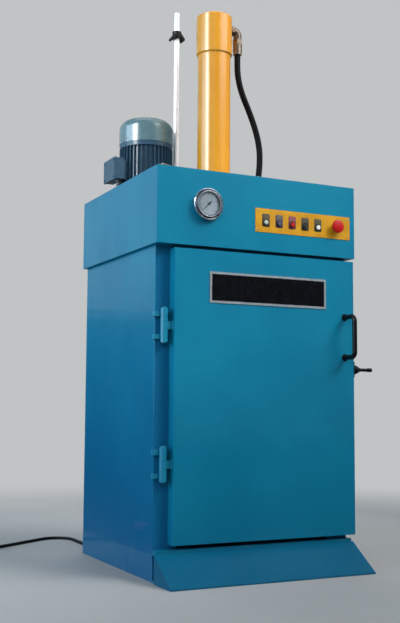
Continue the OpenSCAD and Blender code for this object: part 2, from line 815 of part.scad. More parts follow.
// sensor on its bracket, which the trip dog passes at the end of the stroke
module stroke_sensor() {
    x = guide_x;
    y = guide_y + 60;
    z = sensor_z;
    color(steel) difference() {
        union() {
            block([x - 20, y, head_top], [x + 20, y + 4, z + 20]);
            block([x - 20, y, head_top], [x + 20, y + 34, head_top + 4]);
        }
        translate([x, y - 1, z]) rotate([-90, 0, 0]) cylinder(r = 9 + seat_fit, h = 6);
    }
    color(dark) translate([x, y, z]) rotate([-90, 0, 0]) {
        translate([0, 0, -35]) cylinder(r = 9, h = 70);
        for (at = [-5, 4]) translate([0, 0, at]) cylinder(r = 14, h = 5, $fn = 6);
    }
}

// ---- motor ----

// finned housing between its two end shields
module motor_body() {
    shield = 20;
    core_r = motor_r - 13;
    color([0.16, 0.24, 0.30]) translate([motor_x, motor_y, head_top]) difference() {
        union() {
            cylinder(r = motor_r + 6, h = 12);
            cylinder(r = motor_r - 1, h = shield);
            cylinder(r = core_r, h = motor_h);
            translate([0, 0, motor_h - shield]) cylinder(r = motor_r - 1, h = shield);
            translate([0, 0, shield - eps]) linear_extrude(motor_h - 2 * shield + 2 * eps)
                for (i = [0:fin_n - 1]) rotate((i + 0.5) * 360 / fin_n)
                    translate([core_r - 2, -1.2]) square([motor_r - core_r + 2, 2.4]);
            translate([term_x - motor_x, -44, term_z0 - head_top + 4])
                cube([44, 88, term_z1 - term_z0 - 8]);
        }
        translate([0, 0, -1]) cylinder(r = shaft_r + run_gap, h = motor_h + 2);
        for (i = [0:3]) rotate(45 + 90 * i) translate([motor_r + 6, 0, 6]) cylinder(r = 4, h = 7);
    }
}

// profile of a rounded cup: radius r, height h, edge radius c
module cup_profile(r, h, c) {
    square([r, h - c]);
    square([r - c, h]);
    translate([r - c, h - c]) circle(c);
}

// domed sheet cover over the fan, standing on an inner lip, with three rings of air slots
module fan_cover() {
    r = motor_r + 1;
    t = 2;
    lip = 6;
    color([0.30, 0.50, 0.52]) translate([motor_x, motor_y, head_top + motor_h]) difference() {
        rotate_extrude() intersection() {
            cup_profile(r, cowl_h, cowl_edge);
            square([r, cowl_h]);
        }
        translate([0, 0, t]) rotate_extrude() intersection() {
            cup_profile(r - t, cowl_h - 2 * t, cowl_edge - t);
            square([r, cowl_h]);
        }
        translate([0, 0, -1]) cylinder(r = r - lip, h = t + 2);
        for (ring = [[16, 24], [30, 38], [44, 52]]) difference() {
            translate([0, 0, cowl_h - t - 1]) difference() {
                cylinder(r = ring[1], h = t + 2);
                translate([0, 0, -1]) cylinder(r = ring[0], h = t + 4);
            }
            for (a = [0, 60, 120]) rotate(a) cube([2 * r, 7, 3 * cowl_h], center = true);
        }
    }
}

// connection box on the motor's left side, with its screwed lid
module terminal_box() {
    lid_x = term_x - 37;
    lid_h = 10;
    color([0.20, 0.26, 0.28]) {
        block([lid_x, term_y0, term_z0], [term_x, term_y1, term_z1]);
        block([lid_x - lid_h, term_y0 - 2, term_z0 - 2], [lid_x, term_y1 + 2, term_z1 + 2]);
        for (y = [term_y0 + 10, term_y1 - 10], z = [term_z0 + 10, term_z1 - 10])
            translate([lid_x - lid_h, y, z]) rotate([0, -90, 0]) cylinder(r = 4.5, h = 3);
    }
}

// gland and short conduit from the connection box into the header
module motor_conduit() {
    nut_h = 10;
    color(dark) translate([conduit_x, conduit_y, 0]) {
        post(conduit_r, head_top - lid_t - nut_h - 1, term_z0);
        for (z = [head_top - lid_t - nut_h, head_top, term_z0 - nut_h]) translate([0, 0, z])
            cylinder(r = conduit_r + 5, h = nut_h, $fn = 6);
    }
}

// revolving shaft, with the coupling and the stub that drive the pump
module motor_shaft() {
    color(steel) translate([motor_x, motor_y, 0]) {
        post(shaft_r, coupling_z + coupling_h / 2, head_top + motor_h + fan_top);
        post(coupling_r, coupling_z, coupling_z + coupling_h);
        post(pump_shaft_r, bell_z - 10, coupling_z + eps);
    }
}

// moulded fan on the shaft's upper end
module cooling_fan() {
    z = head_top + motor_h + 8;
    color([0.15, 0.15, 0.15]) translate([motor_x, motor_y, z]) difference() {
        union() {
            cylinder(r = motor_r - 15, h = 3);
            cylinder(r = shaft_r + 7, h = 34);
            for (i = [0:7]) rotate(45 * i) translate([shaft_r + 2, -1.5, 0])
                cube([motor_r - 15 - shaft_r - 8, 3, 34]);
        }
        translate([0, 0, -1]) cylinder(r = shaft_r + seat_fit, h = 40);
    }
}

// ---- controls ----

// case of the pressure gauge, with its sloping bezel, its dial face and the connection behind
module gauge_case() {
    bezel_h = 9;
    color(steel) on_front(gauge_x, gauge_z) difference() {
        union() {
            cylinder(r = gauge_r, h = gauge_out - bezel_h);
            translate([0, 0, gauge_out - bezel_h])
                cylinder(r1 = gauge_r, r2 = gauge_r - 10, h = bezel_h);
            translate([0, 0, -42]) cylinder(r = gauge_r - 11, h = 43);
            translate([0, 0, -64]) cylinder(r = 8, h = 23);
            translate([0, 0, -54]) cylinder(r = 12, h = 12, $fn = 6);
        }
        translate([0, 0, dial_z]) cylinder(r = dial_r, h = gauge_out);
        translate([0, 0, dial_z - 10]) cylinder(r = 1.5 + run_gap, h = 20);
    }
}

module gauge_glass() {
    color([0.8, 0.9, 0.95, 0.4]) on_front(gauge_x, gauge_z) translate([0, 0, dial_z + 5])
        cylinder(r = dial_r - seat_fit, h = 2);
}

// pointer, shown at the zero of a dial that runs over 270 degrees
module gauge_needle() {
    tip = dial_r - 6;
    color("black") on_front(gauge_x, gauge_z) rotate(225) {
        translate([0, 0, dial_z - 8]) cylinder(r = 1.5, h = 10);
        translate([0, 0, dial_z + 1.5]) cylinder(r = 5, h = 2.5);
        translate([0, 0, dial_z + 1.5]) linear_extrude(1.4)
            polygon([[-14, -3], [-14, 3], [0, 2.2], [tip, 0.6], [tip, -0.6], [0, -2.2]]);
    }
}

// pressed plate behind the buttons
module control_plate() {
    color(yellow) difference() {
        translate([ctrl_x, head_front - ctrl_t, ctrl_z - ctrl_h / 2]) cube([ctrl_w, ctrl_t, ctrl_h]);
        for (x = button_xs) on_front(x, button_z)
            cylinder(r = barrel_hole, h = 6 * ctrl_t, center = true);
        on_front(stop_x, stop_z) cylinder(r = barrel_hole, h = 6 * ctrl_t, center = true);
    }
}

// body of one control unit: collar in front, nut and contact block behind
module control_unit(collar_r) {
    difference() {
        union() {
            translate([0, 0, ctrl_t]) cylinder(r = collar_r, h = collar_h);
            translate([0, 0, -30]) cylinder(r = barrel_hole - 0.4, h = 30 + ctrl_t + eps);
            translate([0, 0, -head_t - 8]) cylinder(r = barrel_hole + 6, h = 8, $fn = 6);
            translate([-15, -22, -62]) cube([30, 44, 33]);
        }
        translate([0, 0, -22]) cylinder(r = button_r + run_gap, h = 60);
    }
}

module button_collars() {
    color(dark) {
        for (x = button_xs) on_front(x, button_z) control_unit(barrel_hole + 3.5);
        on_front(stop_x, stop_z) control_unit(barrel_hole + 4);
    }
}

// lens of the lamp, the first unit in the row
module power_lamp() {
    color([0.7, 0.75, 0.7]) on_front(button_xs[0], button_z) {
        translate([0, 0, -22]) cylinder(r = button_r, h = 22 + ctrl_t + collar_h);
        translate([0, 0, ctrl_t + collar_h]) cylinder(r1 = button_r, r2 = button_r - 2.5, h = 3);
    }
}

// push button number i, shown released
module push_button(i) {
    rim = ctrl_t + collar_h + button_travel - 1;
    on_front(button_xs[i], button_z) {
        translate([0, 0, -10]) cylinder(r = button_r, h = 10 + rim);
        translate([0, 0, rim]) cylinder(r1 = button_r, r2 = button_r - 1.2, h = 1.2);
    }
}

module start_button() {
    color([0.45, 0.42, 0.50]) push_button(1);
}

module stop_button() {
    color([0.75, 0.15, 0.25]) push_button(2);
}

module down_button() {
    color([0.20, 0.19, 0.17]) push_button(3);
}

module up_button() {
    color([0.85, 0.85, 0.78]) push_button(4);
}

// push-pull mushroom head of the emergency stop, shown pulled out
module emergency_stop() {
    head_at = ctrl_t + collar_h + stop_travel + 1;
    skirt_h = 9;
    dome_h = 12;
    dome_r = 2.4 * stop_r;
    color([0.80, 0.10, 0.12]) on_front(stop_x, stop_z) {
        translate([0, 0, -10]) cylinder(r = button_r, h = 11 + head_at);
        translate([0, 0, head_at]) cylinder(r1 = 0.6 * stop_r, r2 = stop_r, h = skirt_h);
        translate([0, 0, head_at + skirt_h]) intersection() {
            cylinder(r = stop_r, h = dome_h);
            translate([0, 0, dome_h - dome_r]) sphere(r = dome_r);
        }
    }
}

// ---- door fittings on the cabinet ----

// end knuckles of the two hinges, each on an arm welded to the left jamb
module hinge_knuckles() {
    arm_h = 18;
    reach = 40;
    color(blue) for (z = hinge_zs, s = [-1, 1])
        translate([hinge_x, hinge_y, z + s * knuckle_h]) difference() {
            union() {
                cylinder(r = hinge_r, h = knuckle_h - knuckle_gap, center = true);
                block([-reach, 7, -arm_h / 2], [0, seat_y - hinge_y, arm_h / 2]);
            }
            cylinder(r = pin_r + seat_fit, h = knuckle_h + 2, center = true);
        }
}

module hinge_pins() {
    color(steel) for (z = hinge_zs) translate([hinge_x, hinge_y, z]) {
        cylinder(r = pin_r, h = hinge_h + 8, center = true);
        translate([0, 0, hinge_h / 2]) cylinder(r1 = pin_r + 3, r2 = pin_r, h = 4);
    }
}

// bracket and boss that guide the pull bolt beside the door
module bolt_guide() {
    z0 = bolt_z - 32;
    z1 = bolt_z + 33;
    color(blue) difference() {
        union() {
            block([half_w, seat_y, z0], [boss_x, seat_y + 75, z1]);
            block([bolt_plate_x, bolt_y - bolt_boss_r, z0], [boss_x, seat_y + eps, z1]);
            translate([boss_x - eps, bolt_y, bolt_z]) rotate([0, 90, 0]) {
                cylinder(r = bolt_boss_r, h = boss_h);
                translate([0, 0, boss_h - eps]) cylinder(r1 = bolt_boss_r, r2 = bolt_r + 2, h = boss_cone_h);
            }
        }
        translate([half_w, bolt_y, bolt_z]) rotate([0, 90, 0])
            cylinder(r = bolt_r + run_gap, h = boss_x - half_w + boss_h + boss_cone_h + 1);
    }
}

// pull bolt of the door, shown drawn back; its grip stays clear of the boss when it is pushed in
module door_bolt() {
    grip = 18;
    grip_x = boss_x - bolt_plate_x + boss_h + boss_cone_h + bolt_travel + 12;
    color(steel) translate([bolt_plate_x + 0.5, bolt_y, bolt_z]) rotate([0, 90, 0]) {
        cylinder(r1 = bolt_r - 2, r2 = bolt_r, h = 2);
        translate([0, 0, 2 - eps]) cylinder(r = bolt_r, h = grip_x + grip);
        translate([0, 0, grip_x]) cylinder(r = bolt_r + 1.5, h = grip);
    }
}

// ---- supply ----

// gland in the header's rear cover, with the boot that guards the cable
module cable_gland() {
    nut_h = 10;
    cap_h = 10;
    boot = gland_end - head_back - nut_h - cap_h;
    color(dark) translate([gland_x, head_back, gland_z]) rotate([-90, 0, 0]) {
        translate([0, 0, -head_t - nut_h - 2]) cylinder(r = gland_r, h = head_t + nut_h + 12);
        translate([0, 0, -head_t - nut_h]) cylinder(r = gland_r + 6, h = nut_h, $fn = 6);
        cylinder(r = gland_r + 6, h = nut_h, $fn = 6);
        translate([0, 0, nut_h]) cylinder(r = gland_r + 3, h = cap_h);
        translate([0, 0, nut_h + cap_h]) cylinder(r1 = gland_r + 1, r2 = lay + 1.5, h = boot);
    }
}

module supply_cable() {
    color(dark) translate([gland_x, 0, 0]) cord(cable_route, lay, 10, [1, 0, 1]);
}

// rest of the cable in six turns, two wide and three high
module cable_coil() {
    color(dark) translate([gland_x, 0, 0]) translate(coil_at) rotate_extrude() {
        for (i = [-0.5, 0.5], k = [0.5, 1.5, 2.5]) translate([coil_r + i * cable_d, k * cable_d])
            circle(lay);
        translate([coil_r - lay, lay]) square([cable_d, 2 * cable_d]);
    }
}

// five-pin plug with its relief, lying on the ground
module supply_plug() {
    relief_l = 50;
    nut_l = 16;
    body_l = 46;
    shroud_l = 38;
    r = plug_at[2];
    color(dark) translate([gland_x, 0, 0]) translate(plug_at) rotate([-90, 0, 0]) {
        cylinder(r1 = lay + 1, r2 = lay + 7, h = relief_l);
        translate([0, 0, relief_l]) cylinder(r = r - 10, h = nut_l, $fn = 8);
    }
    color("firebrick") translate([gland_x, relief_l + nut_l, 0]) translate(plug_at) rotate([-90, 0, 0]) {
        cylinder(r1 = r - 9, r2 = r - 4, h = body_l);
        translate([0, 0, body_l - eps]) difference() {
            cylinder(r = r, h = shroud_l);
            translate([0, 0, 6]) cylinder(r = r - 4, h = shroud_l);
        }
        for (i = [0:4]) rotate(72 * i) translate([0.55 * r, 0, body_l + 5])
            cylinder(r = 3, h = shroud_l - 9);
    }
}

// ---- door ----

// front sheet of the door with its four folded edges
module door_skin() {
    color(blue) difference() {
        block([door_x0, head_front, door_z0], [door_x1, door_y1, door_z1]);
        block([door_x0 + skin_t, head_front + skin_t, door_z0 + skin_t],
              [door_x1 - skin_t, door_y1 + 1, door_z1 - skin_t]);
        translate([door_x1 - skin_t - 1, bolt_y, bolt_z]) rotate([0, 90, 0])
            cylinder(r = bolt_r + 1.5, h = skin_t + 2);
    }
}

// grid of flat bars welded inside the door
module door_frame() {
    bar = 5;
    across = 4;
    up = 6;
    x0 = door_x0 + skin_t;
    x1 = door_x1 - skin_t;
    z0 = door_z0 + skin_t;
    z1 = door_z1 - skin_t;
    y0 = head_front + skin_t;
    color(blue) {
        for (i = [1:across - 1]) translate([x0 + i * (x1 - x0) / across - bar / 2, y0, z0])
            cube([bar, stiff_d, z1 - z0]);
        for (i = [1:up - 1]) translate([x0, y0, z0 + i * (z1 - z0) / up - bar / 2])
            cube([x1 - x0, stiff_d, bar]);
    }
}

// bow handle of round bar on two feet
module door_handle() {
    bend = 22;
    half = handle_l / 2 - handle_r;
    color(dark) on_front(handle_x, handle_z) {
        for (s = [0, 1]) mirror([0, s, 0]) {
            translate([0, half, 0]) {
                cylinder(r = handle_r, h = handle_reach - bend);
                cylinder(r = handle_r + 3, h = 3);
            }
            translate([0, half - bend, handle_reach - bend]) rotate([90, 0, 90])
                bar_bend(handle_r, bend);
        }
        translate([0, bend - half, handle_reach]) rotate([-90, 0, 0])
            cylinder(r = handle_r, h = 2 * (half - bend));
    }
}

// plate with a raised rim
module name_plate() {
    rim = 9;
    base_t = 1.6;
    color([0.75, 0.75, 0.72]) on_front(door_mid_x + plate_off, plate_z) difference() {
        translate([-plate_w / 2, -plate_h / 2, 0]) cube([plate_w, plate_h, base_t + 1.4]);
        translate([rim - plate_w / 2, rim - plate_h / 2, base_t])
            cube([plate_w - 2 * rim, plate_h - 2 * rim, 2]);
    }
}

// middle knuckles of the two hinges, each welded to the door's edge
module door_knuckles() {
    pad_t = 5;
    link = 22;
    color(blue) for (z = hinge_zs) translate([hinge_x, hinge_y, z]) difference() {
        union() {
            cylinder(r = hinge_r, h = knuckle_h - knuckle_gap, center = true);
            block([0, -link / 2, -15], [door_x0 - hinge_x - pad_t + eps, link / 2, 15]);
            block([door_x0 - hinge_x - pad_t, -24, -18], [door_x0 - hinge_x, 14, 18]);
        }
        cylinder(r = pin_r + run_gap, h = knuckle_h + 2, center = true);
    }
}

// ---- ram ----

// grooved piston on the rod's spigot
module piston() {
    r = bore_r - run_gap;
    color(steel) difference() {
        post(r, piston_z, piston_z + piston_h);
        post(spigot_rod_r + seat_fit, piston_z - 1, piston_z + piston_h + 1);
        for (z = [10, 24, 38]) translate([0, 0, piston_z + z]) difference() {
            cylinder(r = r + 1, h = 7);
            translate([0, 0, -1]) cylinder(r = r - 4, h = 9);
        }
    }
}

// rod from the platen's hub to the piston, with the nut on its spigot
module piston_rod() {
    color("silver") {
        post(rod_r, rod_foot, piston_z);
        post(spigot_rod_r, piston_z - eps, piston_z + piston_h + 34);
        translate([0, 0, piston_z + piston_h]) cylinder(r = spigot_rod_r + 14, h = 28, $fn = 6);
    }
}

// round pressing plate with its hub, its edge ring and eight gussets
module platen() {
    r = platen_d / 2;
    ring_t = 12;
    ring_h = 34;
    rib_t = 12;
    boss_h = 40;
    color(blue) difference() {
        union() {
            post(r, platen_z, rod_foot);
            difference() {
                post(r, rod_foot - eps, rod_foot + ring_h);
                post(r - ring_t, rod_foot - 1, rod_foot + ring_h + 1);
            }
            post(hub_r, rod_foot - eps, rod_foot + hub_h);
            for (i = [0:7]) rotate(45 * i) rotate([90, 0, 0])
                translate([0, rod_foot - eps, -rib_t / 2]) linear_extrude(rib_t) polygon([
                    [hub_r - 4, 0], [r - 2, 0], [r - 2, ring_h - 8], [hub_r - 4, hub_h - 8]]);
            translate([guide_x, guide_y, 0]) post(guide_r + 14, rod_foot - eps, rod_foot + boss_h);
        }
        post(rod_r + seat_fit, rod_foot, rod_foot + hub_h + 1);
        translate([guide_x, guide_y, 0]) post(guide_r + seat_fit, rod_foot, rod_foot + boss_h + 1);
    }
}

// rod that keeps the platen from turning
module guide_rod() {
    color("silver") translate([guide_x, guide_y, 0]) {
        post(guide_r, rod_foot, guide_top - 2);
        translate([0, 0, guide_top - 2 - eps]) cylinder(r1 = guide_r, r2 = guide_r - 2, h = 2);
    }
}

// roof-shaped dog clamped on the guide rod
module trip_dog() {
    wide = 42;
    half = 33;
    color(dark) translate([guide_x, guide_y, dog_z]) difference() {
        union() {
            rotate([90, 0, 0]) translate([0, 0, -wide / 2]) linear_extrude(wide) polygon([
                [-half, -42], [-half, -34], [-6, 0], [6, 0], [half, -34], [half, -42],
                [half - 10, -42], [0, -14], [10 - half, -42]]);
            post(guide_r + 8, -34, 0);
        }
        post(guide_r + seat_fit, -50, 10);
    }
}

base_frame();
loading_ramp();
side_wall_left();
side_wall_right();
rear_wall();
crosshead();
header_shell();
header_top();
header_back();
oil_tank();
filler_breather();
hydraulic_pump();
valve_block();
valve_pipes();
electrical_box();
cylinder_barrel();
cylinder_cap();
cylinder_gland();
flange_bolts();
port_elbow();
hose_ferrules();
pressure_hose();
hose_bulkhead();
guide_bushes();
stroke_sensor();
motor_body();
fan_cover();
terminal_box();
motor_conduit();
gauge_case();
gauge_glass();
control_plate();
power_lamp();
button_collars();
hinge_knuckles();
hinge_pins();
bolt_guide();
cable_gland();
supply_cable();
cable_coil();
supply_plug();
door_skin();
door_frame();
door_handle();
name_plate();
door_knuckles();
piston();
piston_rod();
platen();
guide_rod();
trip_dog();
motor_shaft();
cooling_fan();
door_bolt();
gauge_needle();
start_button();
stop_button();
down_button();
up_button();
emergency_stop();
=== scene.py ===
import json
import math

import bmesh
import bpy
from mathutils import Matrix, Vector


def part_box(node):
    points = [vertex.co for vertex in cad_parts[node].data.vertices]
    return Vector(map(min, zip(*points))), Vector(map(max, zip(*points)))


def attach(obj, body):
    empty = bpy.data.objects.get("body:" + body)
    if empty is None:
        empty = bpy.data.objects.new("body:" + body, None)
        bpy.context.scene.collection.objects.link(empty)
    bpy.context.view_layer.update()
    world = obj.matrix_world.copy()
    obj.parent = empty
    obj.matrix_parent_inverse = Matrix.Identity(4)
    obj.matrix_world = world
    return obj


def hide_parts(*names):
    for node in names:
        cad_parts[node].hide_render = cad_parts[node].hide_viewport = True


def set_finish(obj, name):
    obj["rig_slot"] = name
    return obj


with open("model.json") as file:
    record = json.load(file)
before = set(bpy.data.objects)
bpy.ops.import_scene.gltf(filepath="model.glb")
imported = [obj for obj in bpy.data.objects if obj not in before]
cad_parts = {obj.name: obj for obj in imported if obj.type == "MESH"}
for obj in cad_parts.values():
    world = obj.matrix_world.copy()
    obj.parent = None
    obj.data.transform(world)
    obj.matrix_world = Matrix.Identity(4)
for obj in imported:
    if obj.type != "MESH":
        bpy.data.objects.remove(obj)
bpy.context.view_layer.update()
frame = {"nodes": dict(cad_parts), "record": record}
nodes = frame["nodes"]
print("frame loaded:", len(nodes), "nodes")


# camera

cameraSet = {"place": (-1.9079, -3.7852, 0.6733), "turn": 25.98, "tilt": 5.51, "roll": 0.36, "lens": 55.44,
             "farClip": 60}


def addCamera(s):
    data = bpy.data.cameras.new("camera")
    data.lens = s["lens"]
    data.clip_end = s["farClip"]
    camera = bpy.data.objects.new("camera", data)
    look = (Matrix.Rotation(math.radians(-s["turn"]), 4, "Z")
            @ Matrix.Rotation(math.radians(90 + s["tilt"]), 4, "X")
            @ Matrix.Rotation(math.radians(s["roll"]), 4, "Z"))
    camera.matrix_world = Matrix.Translation(s["place"]) @ look
    bpy.context.collection.objects.link(camera)
    bpy.context.scene.camera = camera


# mesh tools

def addPiece(name, bm, body="frame", slot=None, smooth=35):
    # turns a finished mesh into a piece that rides on a body
    bmesh.ops.recalc_face_normals(bm, faces=bm.faces)
    mesh = bpy.data.meshes.new(name)
    bm.to_mesh(mesh)
    bm.free()
    for face in mesh.polygons:
        face.use_smooth = True
    mesh.set_sharp_from_angle(angle=math.radians(smooth))
    piece = bpy.data.objects.new(name, mesh)
    bpy.context.collection.objects.link(piece)
    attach(piece, body)
    if slot:
        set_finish(piece, slot)
    return piece


def ringsToMesh(bm, rings, closed=False, caps=True):
    # skins rings of points, each ring as long as the others
    loops = [[bm.verts.new(p) for p in ring] for ring in rings]
    pairs = list(zip(loops, loops[1:])) + ([(loops[-1], loops[0])] if closed else [])
    for a, b in pairs:
        for k in range(len(a)):
            n = (k + 1) % len(a)
            bm.faces.new((a[k], a[n], b[n], b[k]))
    if caps and not closed:
        bm.faces.new(loops[0][::-1])
        bm.faces.new(loops[-1])


def sweep(bm, line, radius, sides=12, closed=False):
    # round bar along a line; the radius is a number or a function of the point's index
    points = [Vector(p) for p in line]
    last = len(points) - 1
    heading = (points[1] - points[0]).normalized()
    side = heading.orthogonal().normalized()
    rings = []
    for i, p in enumerate(points):
        ahead = points[(i + 1) % len(points)] if closed else points[min(i + 1, last)]
        behind = points[i - 1] if closed or i else points[0]
        turned = (ahead - behind).normalized()
        side = heading.rotation_difference(turned) @ side
        heading = turned
        up = heading.cross(side)
        r = radius(i) if callable(radius) else radius
        rings.append([p + r * math.cos(math.tau * k / sides) * side + r * math.sin(math.tau * k / sides) * up
                      for k in range(sides)])
    ringsToMesh(bm, rings, closed)


def mergeInto(bm, part, place):
    # adds a small mesh to a larger one
    bmesh.ops.transform(part, matrix=place, verts=part.verts)
    mesh = bpy.data.meshes.new("part")
    part.to_mesh(mesh)
    part.free()
    bm.from_mesh(mesh)
    bpy.data.meshes.remove(mesh)


def softBlock(bm, place, size, edge, segments=2):
    # block with rounded edges
    part = bmesh.new()
    bmesh.ops.create_cube(part, size=1.0)
    bmesh.ops.scale(part, vec=size, verts=part.verts)
    bmesh.ops.bevel(part, geom=list(part.edges), offset=edge, segments=segments, affect="EDGES")
    mergeInto(bm, part, place)


def turned(bm, place, profile, sides=24):
    # turned piece: rings of (radius, height) along its own Z; a radius may be a function of the angle
    rings = []
    for r, z in profile:
        ring = []
        for k in range(sides):
            a = math.tau * k / sides
            reach = r(a) if callable(r) else r
            ring.append(Vector((reach * math.cos(a), reach * math.sin(a), z)))
        rings.append(ring)
    part = bmesh.new()
    ringsToMesh(part, rings)
    mergeInto(bm, part, place)


def hexReach(r):
    # distance to a hexagon's side in a given direction
    return lambda a: r / math.cos((a + math.pi / 6) % (math.pi / 3) - math.pi / 6)


def facing(axis, point):
    # place on a face: local Z looks along the axis
    return Matrix.Translation(point) @ Vector(axis).to_track_quat("Z", "Y").to_matrix().to_4x4()


# shares of the head's radius and of its height
buttonSet = {"height": 1.05, "dome": [(1, 0), (1, 0.18), (0.95, 0.45), (0.80, 0.75), (0.60, 0.93)],
             "socket": [(0.36, 1), (0.34, 0.96), (0.34, 0.45)]}


def buttonScrew(bm, place, r):
    # domed screw head with a hexagon socket
    s = buttonSet
    h = s["height"] * r
    dome = [(share * r, up * h) for share, up in s["dome"]]
    socket = [(hexReach(share * r), up * h) for share, up in s["socket"]]
    turned(bm, place, dome + socket)


def rivetHead(bm, place, r, dome, sides):
    # domed head, its rings given in shares of its radius
    turned(bm, place, [(share * r, up * r) for share, up in dome], sides)


# shares of the bead's radius; the waves hold their height and their pace
beadSet = {"step": 0.45, "least": 2, "sides": 8, "end": 0.35, "endSteps": 4, "even": 0.90,
           "wave": (0.10, 1.7), "slowWave": (0.05, 0.61)}


def weldBead(bm, line, radius):
    # rippled bead, half sunk in the corner that it fills and thinner at its ends
    s = beadSet
    points = [Vector(p) for p in line]
    dense = []
    for a, b in zip(points, points[1:]):
        count = max(s["least"], round((b - a).length / (s["step"] * radius)))
        dense += [a.lerp(b, k / count) for k in range(count)]
    dense.append(points[-1])
    last = len(dense) - 1

    def ripple(i):
        ends = min(1.0, s["end"] + (1 - s["end"]) * min(i, last - i) / s["endSteps"])
        (high, pace), (slowHigh, slowPace) = s["wave"], s["slowWave"]
        return radius * ends * (s["even"] + high * math.cos(i * pace) + slowHigh * math.sin(i * slowPace))

    sweep(bm, dense, ripple, s["sides"])


def smoothLine(points, steps):
    # a smooth line through the points, with a few steps between each two
    line = []
    last = len(points) - 1
    for i in range(last):
        a, b, c, d = (Vector(points[min(max(k, 0), last)]) for k in (i - 1, i, i + 1, i + 2))
        for k in range(steps):
            t = k / steps
            line.append(0.5 * (2 * b + (c - a) * t + (2 * a - 5 * b + 4 * c - d) * t * t
                               + (3 * b - a - 3 * c + d) * t * t * t))
    line.append(Vector(points[last]))
    return line


# cords

def lineLength(points):
    return sum((b - a).length for a, b in zip(points, points[1:]))


def metres(route):
    # routes are written in millimetres
    return [tuple(c / 1000 for c in p) for p in route]


def addCord(name, line, diameter, sides=16):
    bm = bmesh.new()
    sweep(bm, line, diameter / 2, sides)
    return addPiece(name, bm, slot="black_rubber", smooth=60)


cableSet = {
    "diameter": 0.014,
    "steps": 3,
    "coilAt": (-0.842, 0.746),
    "coilRadius": 0.077,
    "coilStart": (46.5, -69.9),
    "coilStep": 15,
    "route": [(-360, 484, 1330), (-360, 494, 1330), (-360, 507.7, 1328.7), (-360, 520.8, 1324.7),
              (-360, 532.9, 1318.2), (-360, 543.5, 1309.5), (-360, 552.2, 1298.9), (-360, 558.7, 1286.8),
              (-360, 562.7, 1273.7), (-360, 564, 1260), (-360, 564, 1240), (-360, 564, 1190),
              (-360, 564, 1080), (-360, 564, 900), (-360, 564, 700),
              (-360, 564, 500), (-360, 564, 300), (-360, 564, 170), (-360, 564, 97), (-360, 571, 62),
              (-360, 590, 33), (-360, 620, 14), (-360, 654, 7), (-360, 705, 7), (-360, 760, 7),
              (-360, 809, 7), (-368, 845, 7), (-390, 874, 7), (-423, 891, 7), (-460, 893, 7),
              (-492, 880, 7), (-535, 851, 7), (-579, 822, 7), (-622, 793, 7), (-665, 763, 7),
              (-709, 734, 7), (-752, 705, 7)],
    "end": [(-926, 758, 33.6), (-926, 772, 32), (-926, 776, 32)],
    # from turn to turn: degrees run so far, ring (-1 inner, 1 outer), layer
    "turns": [(0, 1, 0), (270, 1, 0), (360, -1, 0), (590, -1, 0), (680, -1, 1), (910, -1, 1),
              (1000, 1, 1), (1230, 1, 1), (1320, 1, 2), (1564, 1, 2)],
}


def coilPoints(s):
    # turns lie in two rings, and step from one ring or layer to the next along a soft ramp
    startX, startY = s["coilStart"]
    first = math.atan2(startY, startX)
    d = s["diameter"]
    points = []
    for (a0, ring0, layer0), (a1, ring1, layer1) in zip(s["turns"], s["turns"][1:]):
        count = round((a1 - a0) / s["coilStep"])
        for k in range(count):
            t = k / count
            ease = (1 - math.cos(math.pi * t)) / 2
            ring = ring0 + (ring1 - ring0) * ease
            layer = layer0 + (layer1 - layer0) * ease
            angle = first - math.radians(a0 + (a1 - a0) * t)
            r = s["coilRadius"] + ring * d / 2
            points.append((s["coilAt"][0] + r * math.cos(angle), s["coilAt"][1] + r * math.sin(angle),
                           d * (layer + 0.5)))
    return points


def addCable(s):
    line = smoothLine(metres(s["route"]) + coilPoints(s) + metres(s["end"]), s["steps"])
    for point in line:
        point.z = max(point.z, s["diameter"] / 2)  # it lies on the ground, never in it
    cable = addCord("supplyCable", line, s["diameter"])
    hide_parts("supply_cable", "cable_coil")
    lineLength(line)
    return cable


tieSet = {"turns": (70, 205), "layers": 3, "slack": 0.0012, "wide": 0.0024, "flat": 0.0019, "thick": 0.0011,
          "square": 0.45, "points": 32, "floor": 0.0004, "head": (0.005, 0.007, 0.006), "headOut": 0.002,
          "headEdge": 0.0008}


def addCoilTies(s, coil):
    # flat ties pulled round the bundle of turns, each with its square head
    d = coil["diameter"]
    halfW, halfH = d + s["slack"], s["layers"] / 2 * d
    bm = bmesh.new()
    for turn in s["turns"]:
        angle = math.radians(turn)
        out = Vector((math.cos(angle), math.sin(angle), 0))
        along = Vector((-math.sin(angle), math.cos(angle), 0))
        middle = Vector((*coil["coilAt"], halfH)) + out * coil["coilRadius"]
        rings = []
        for shift, grow in ((-s["wide"], 0.0), (-s["flat"], s["thick"]),
                            (s["flat"], s["thick"]), (s["wide"], 0.0)):
            ring = []
            for k in range(s["points"]):
                a = math.tau * k / s["points"]
                c, q = math.cos(a), math.sin(a)
                x = math.copysign(abs(c) ** s["square"], c) * (halfW + grow)
                z = math.copysign(abs(q) ** s["square"], q) * halfH
                ring.append(middle + along * shift + out * x + Vector((0, 0, max(z, s["floor"] - middle.z))))
            rings.append(ring)
        ringsToMesh(bm, rings, caps=False)
        place = Matrix.Translation(middle + out * (halfW + s["headOut"])) @ Matrix.Rotation(angle, 4, "Z")
        softBlock(bm, place, s["head"], s["headEdge"])
    return addPiece("coilTies", bm, slot="black_plastic")


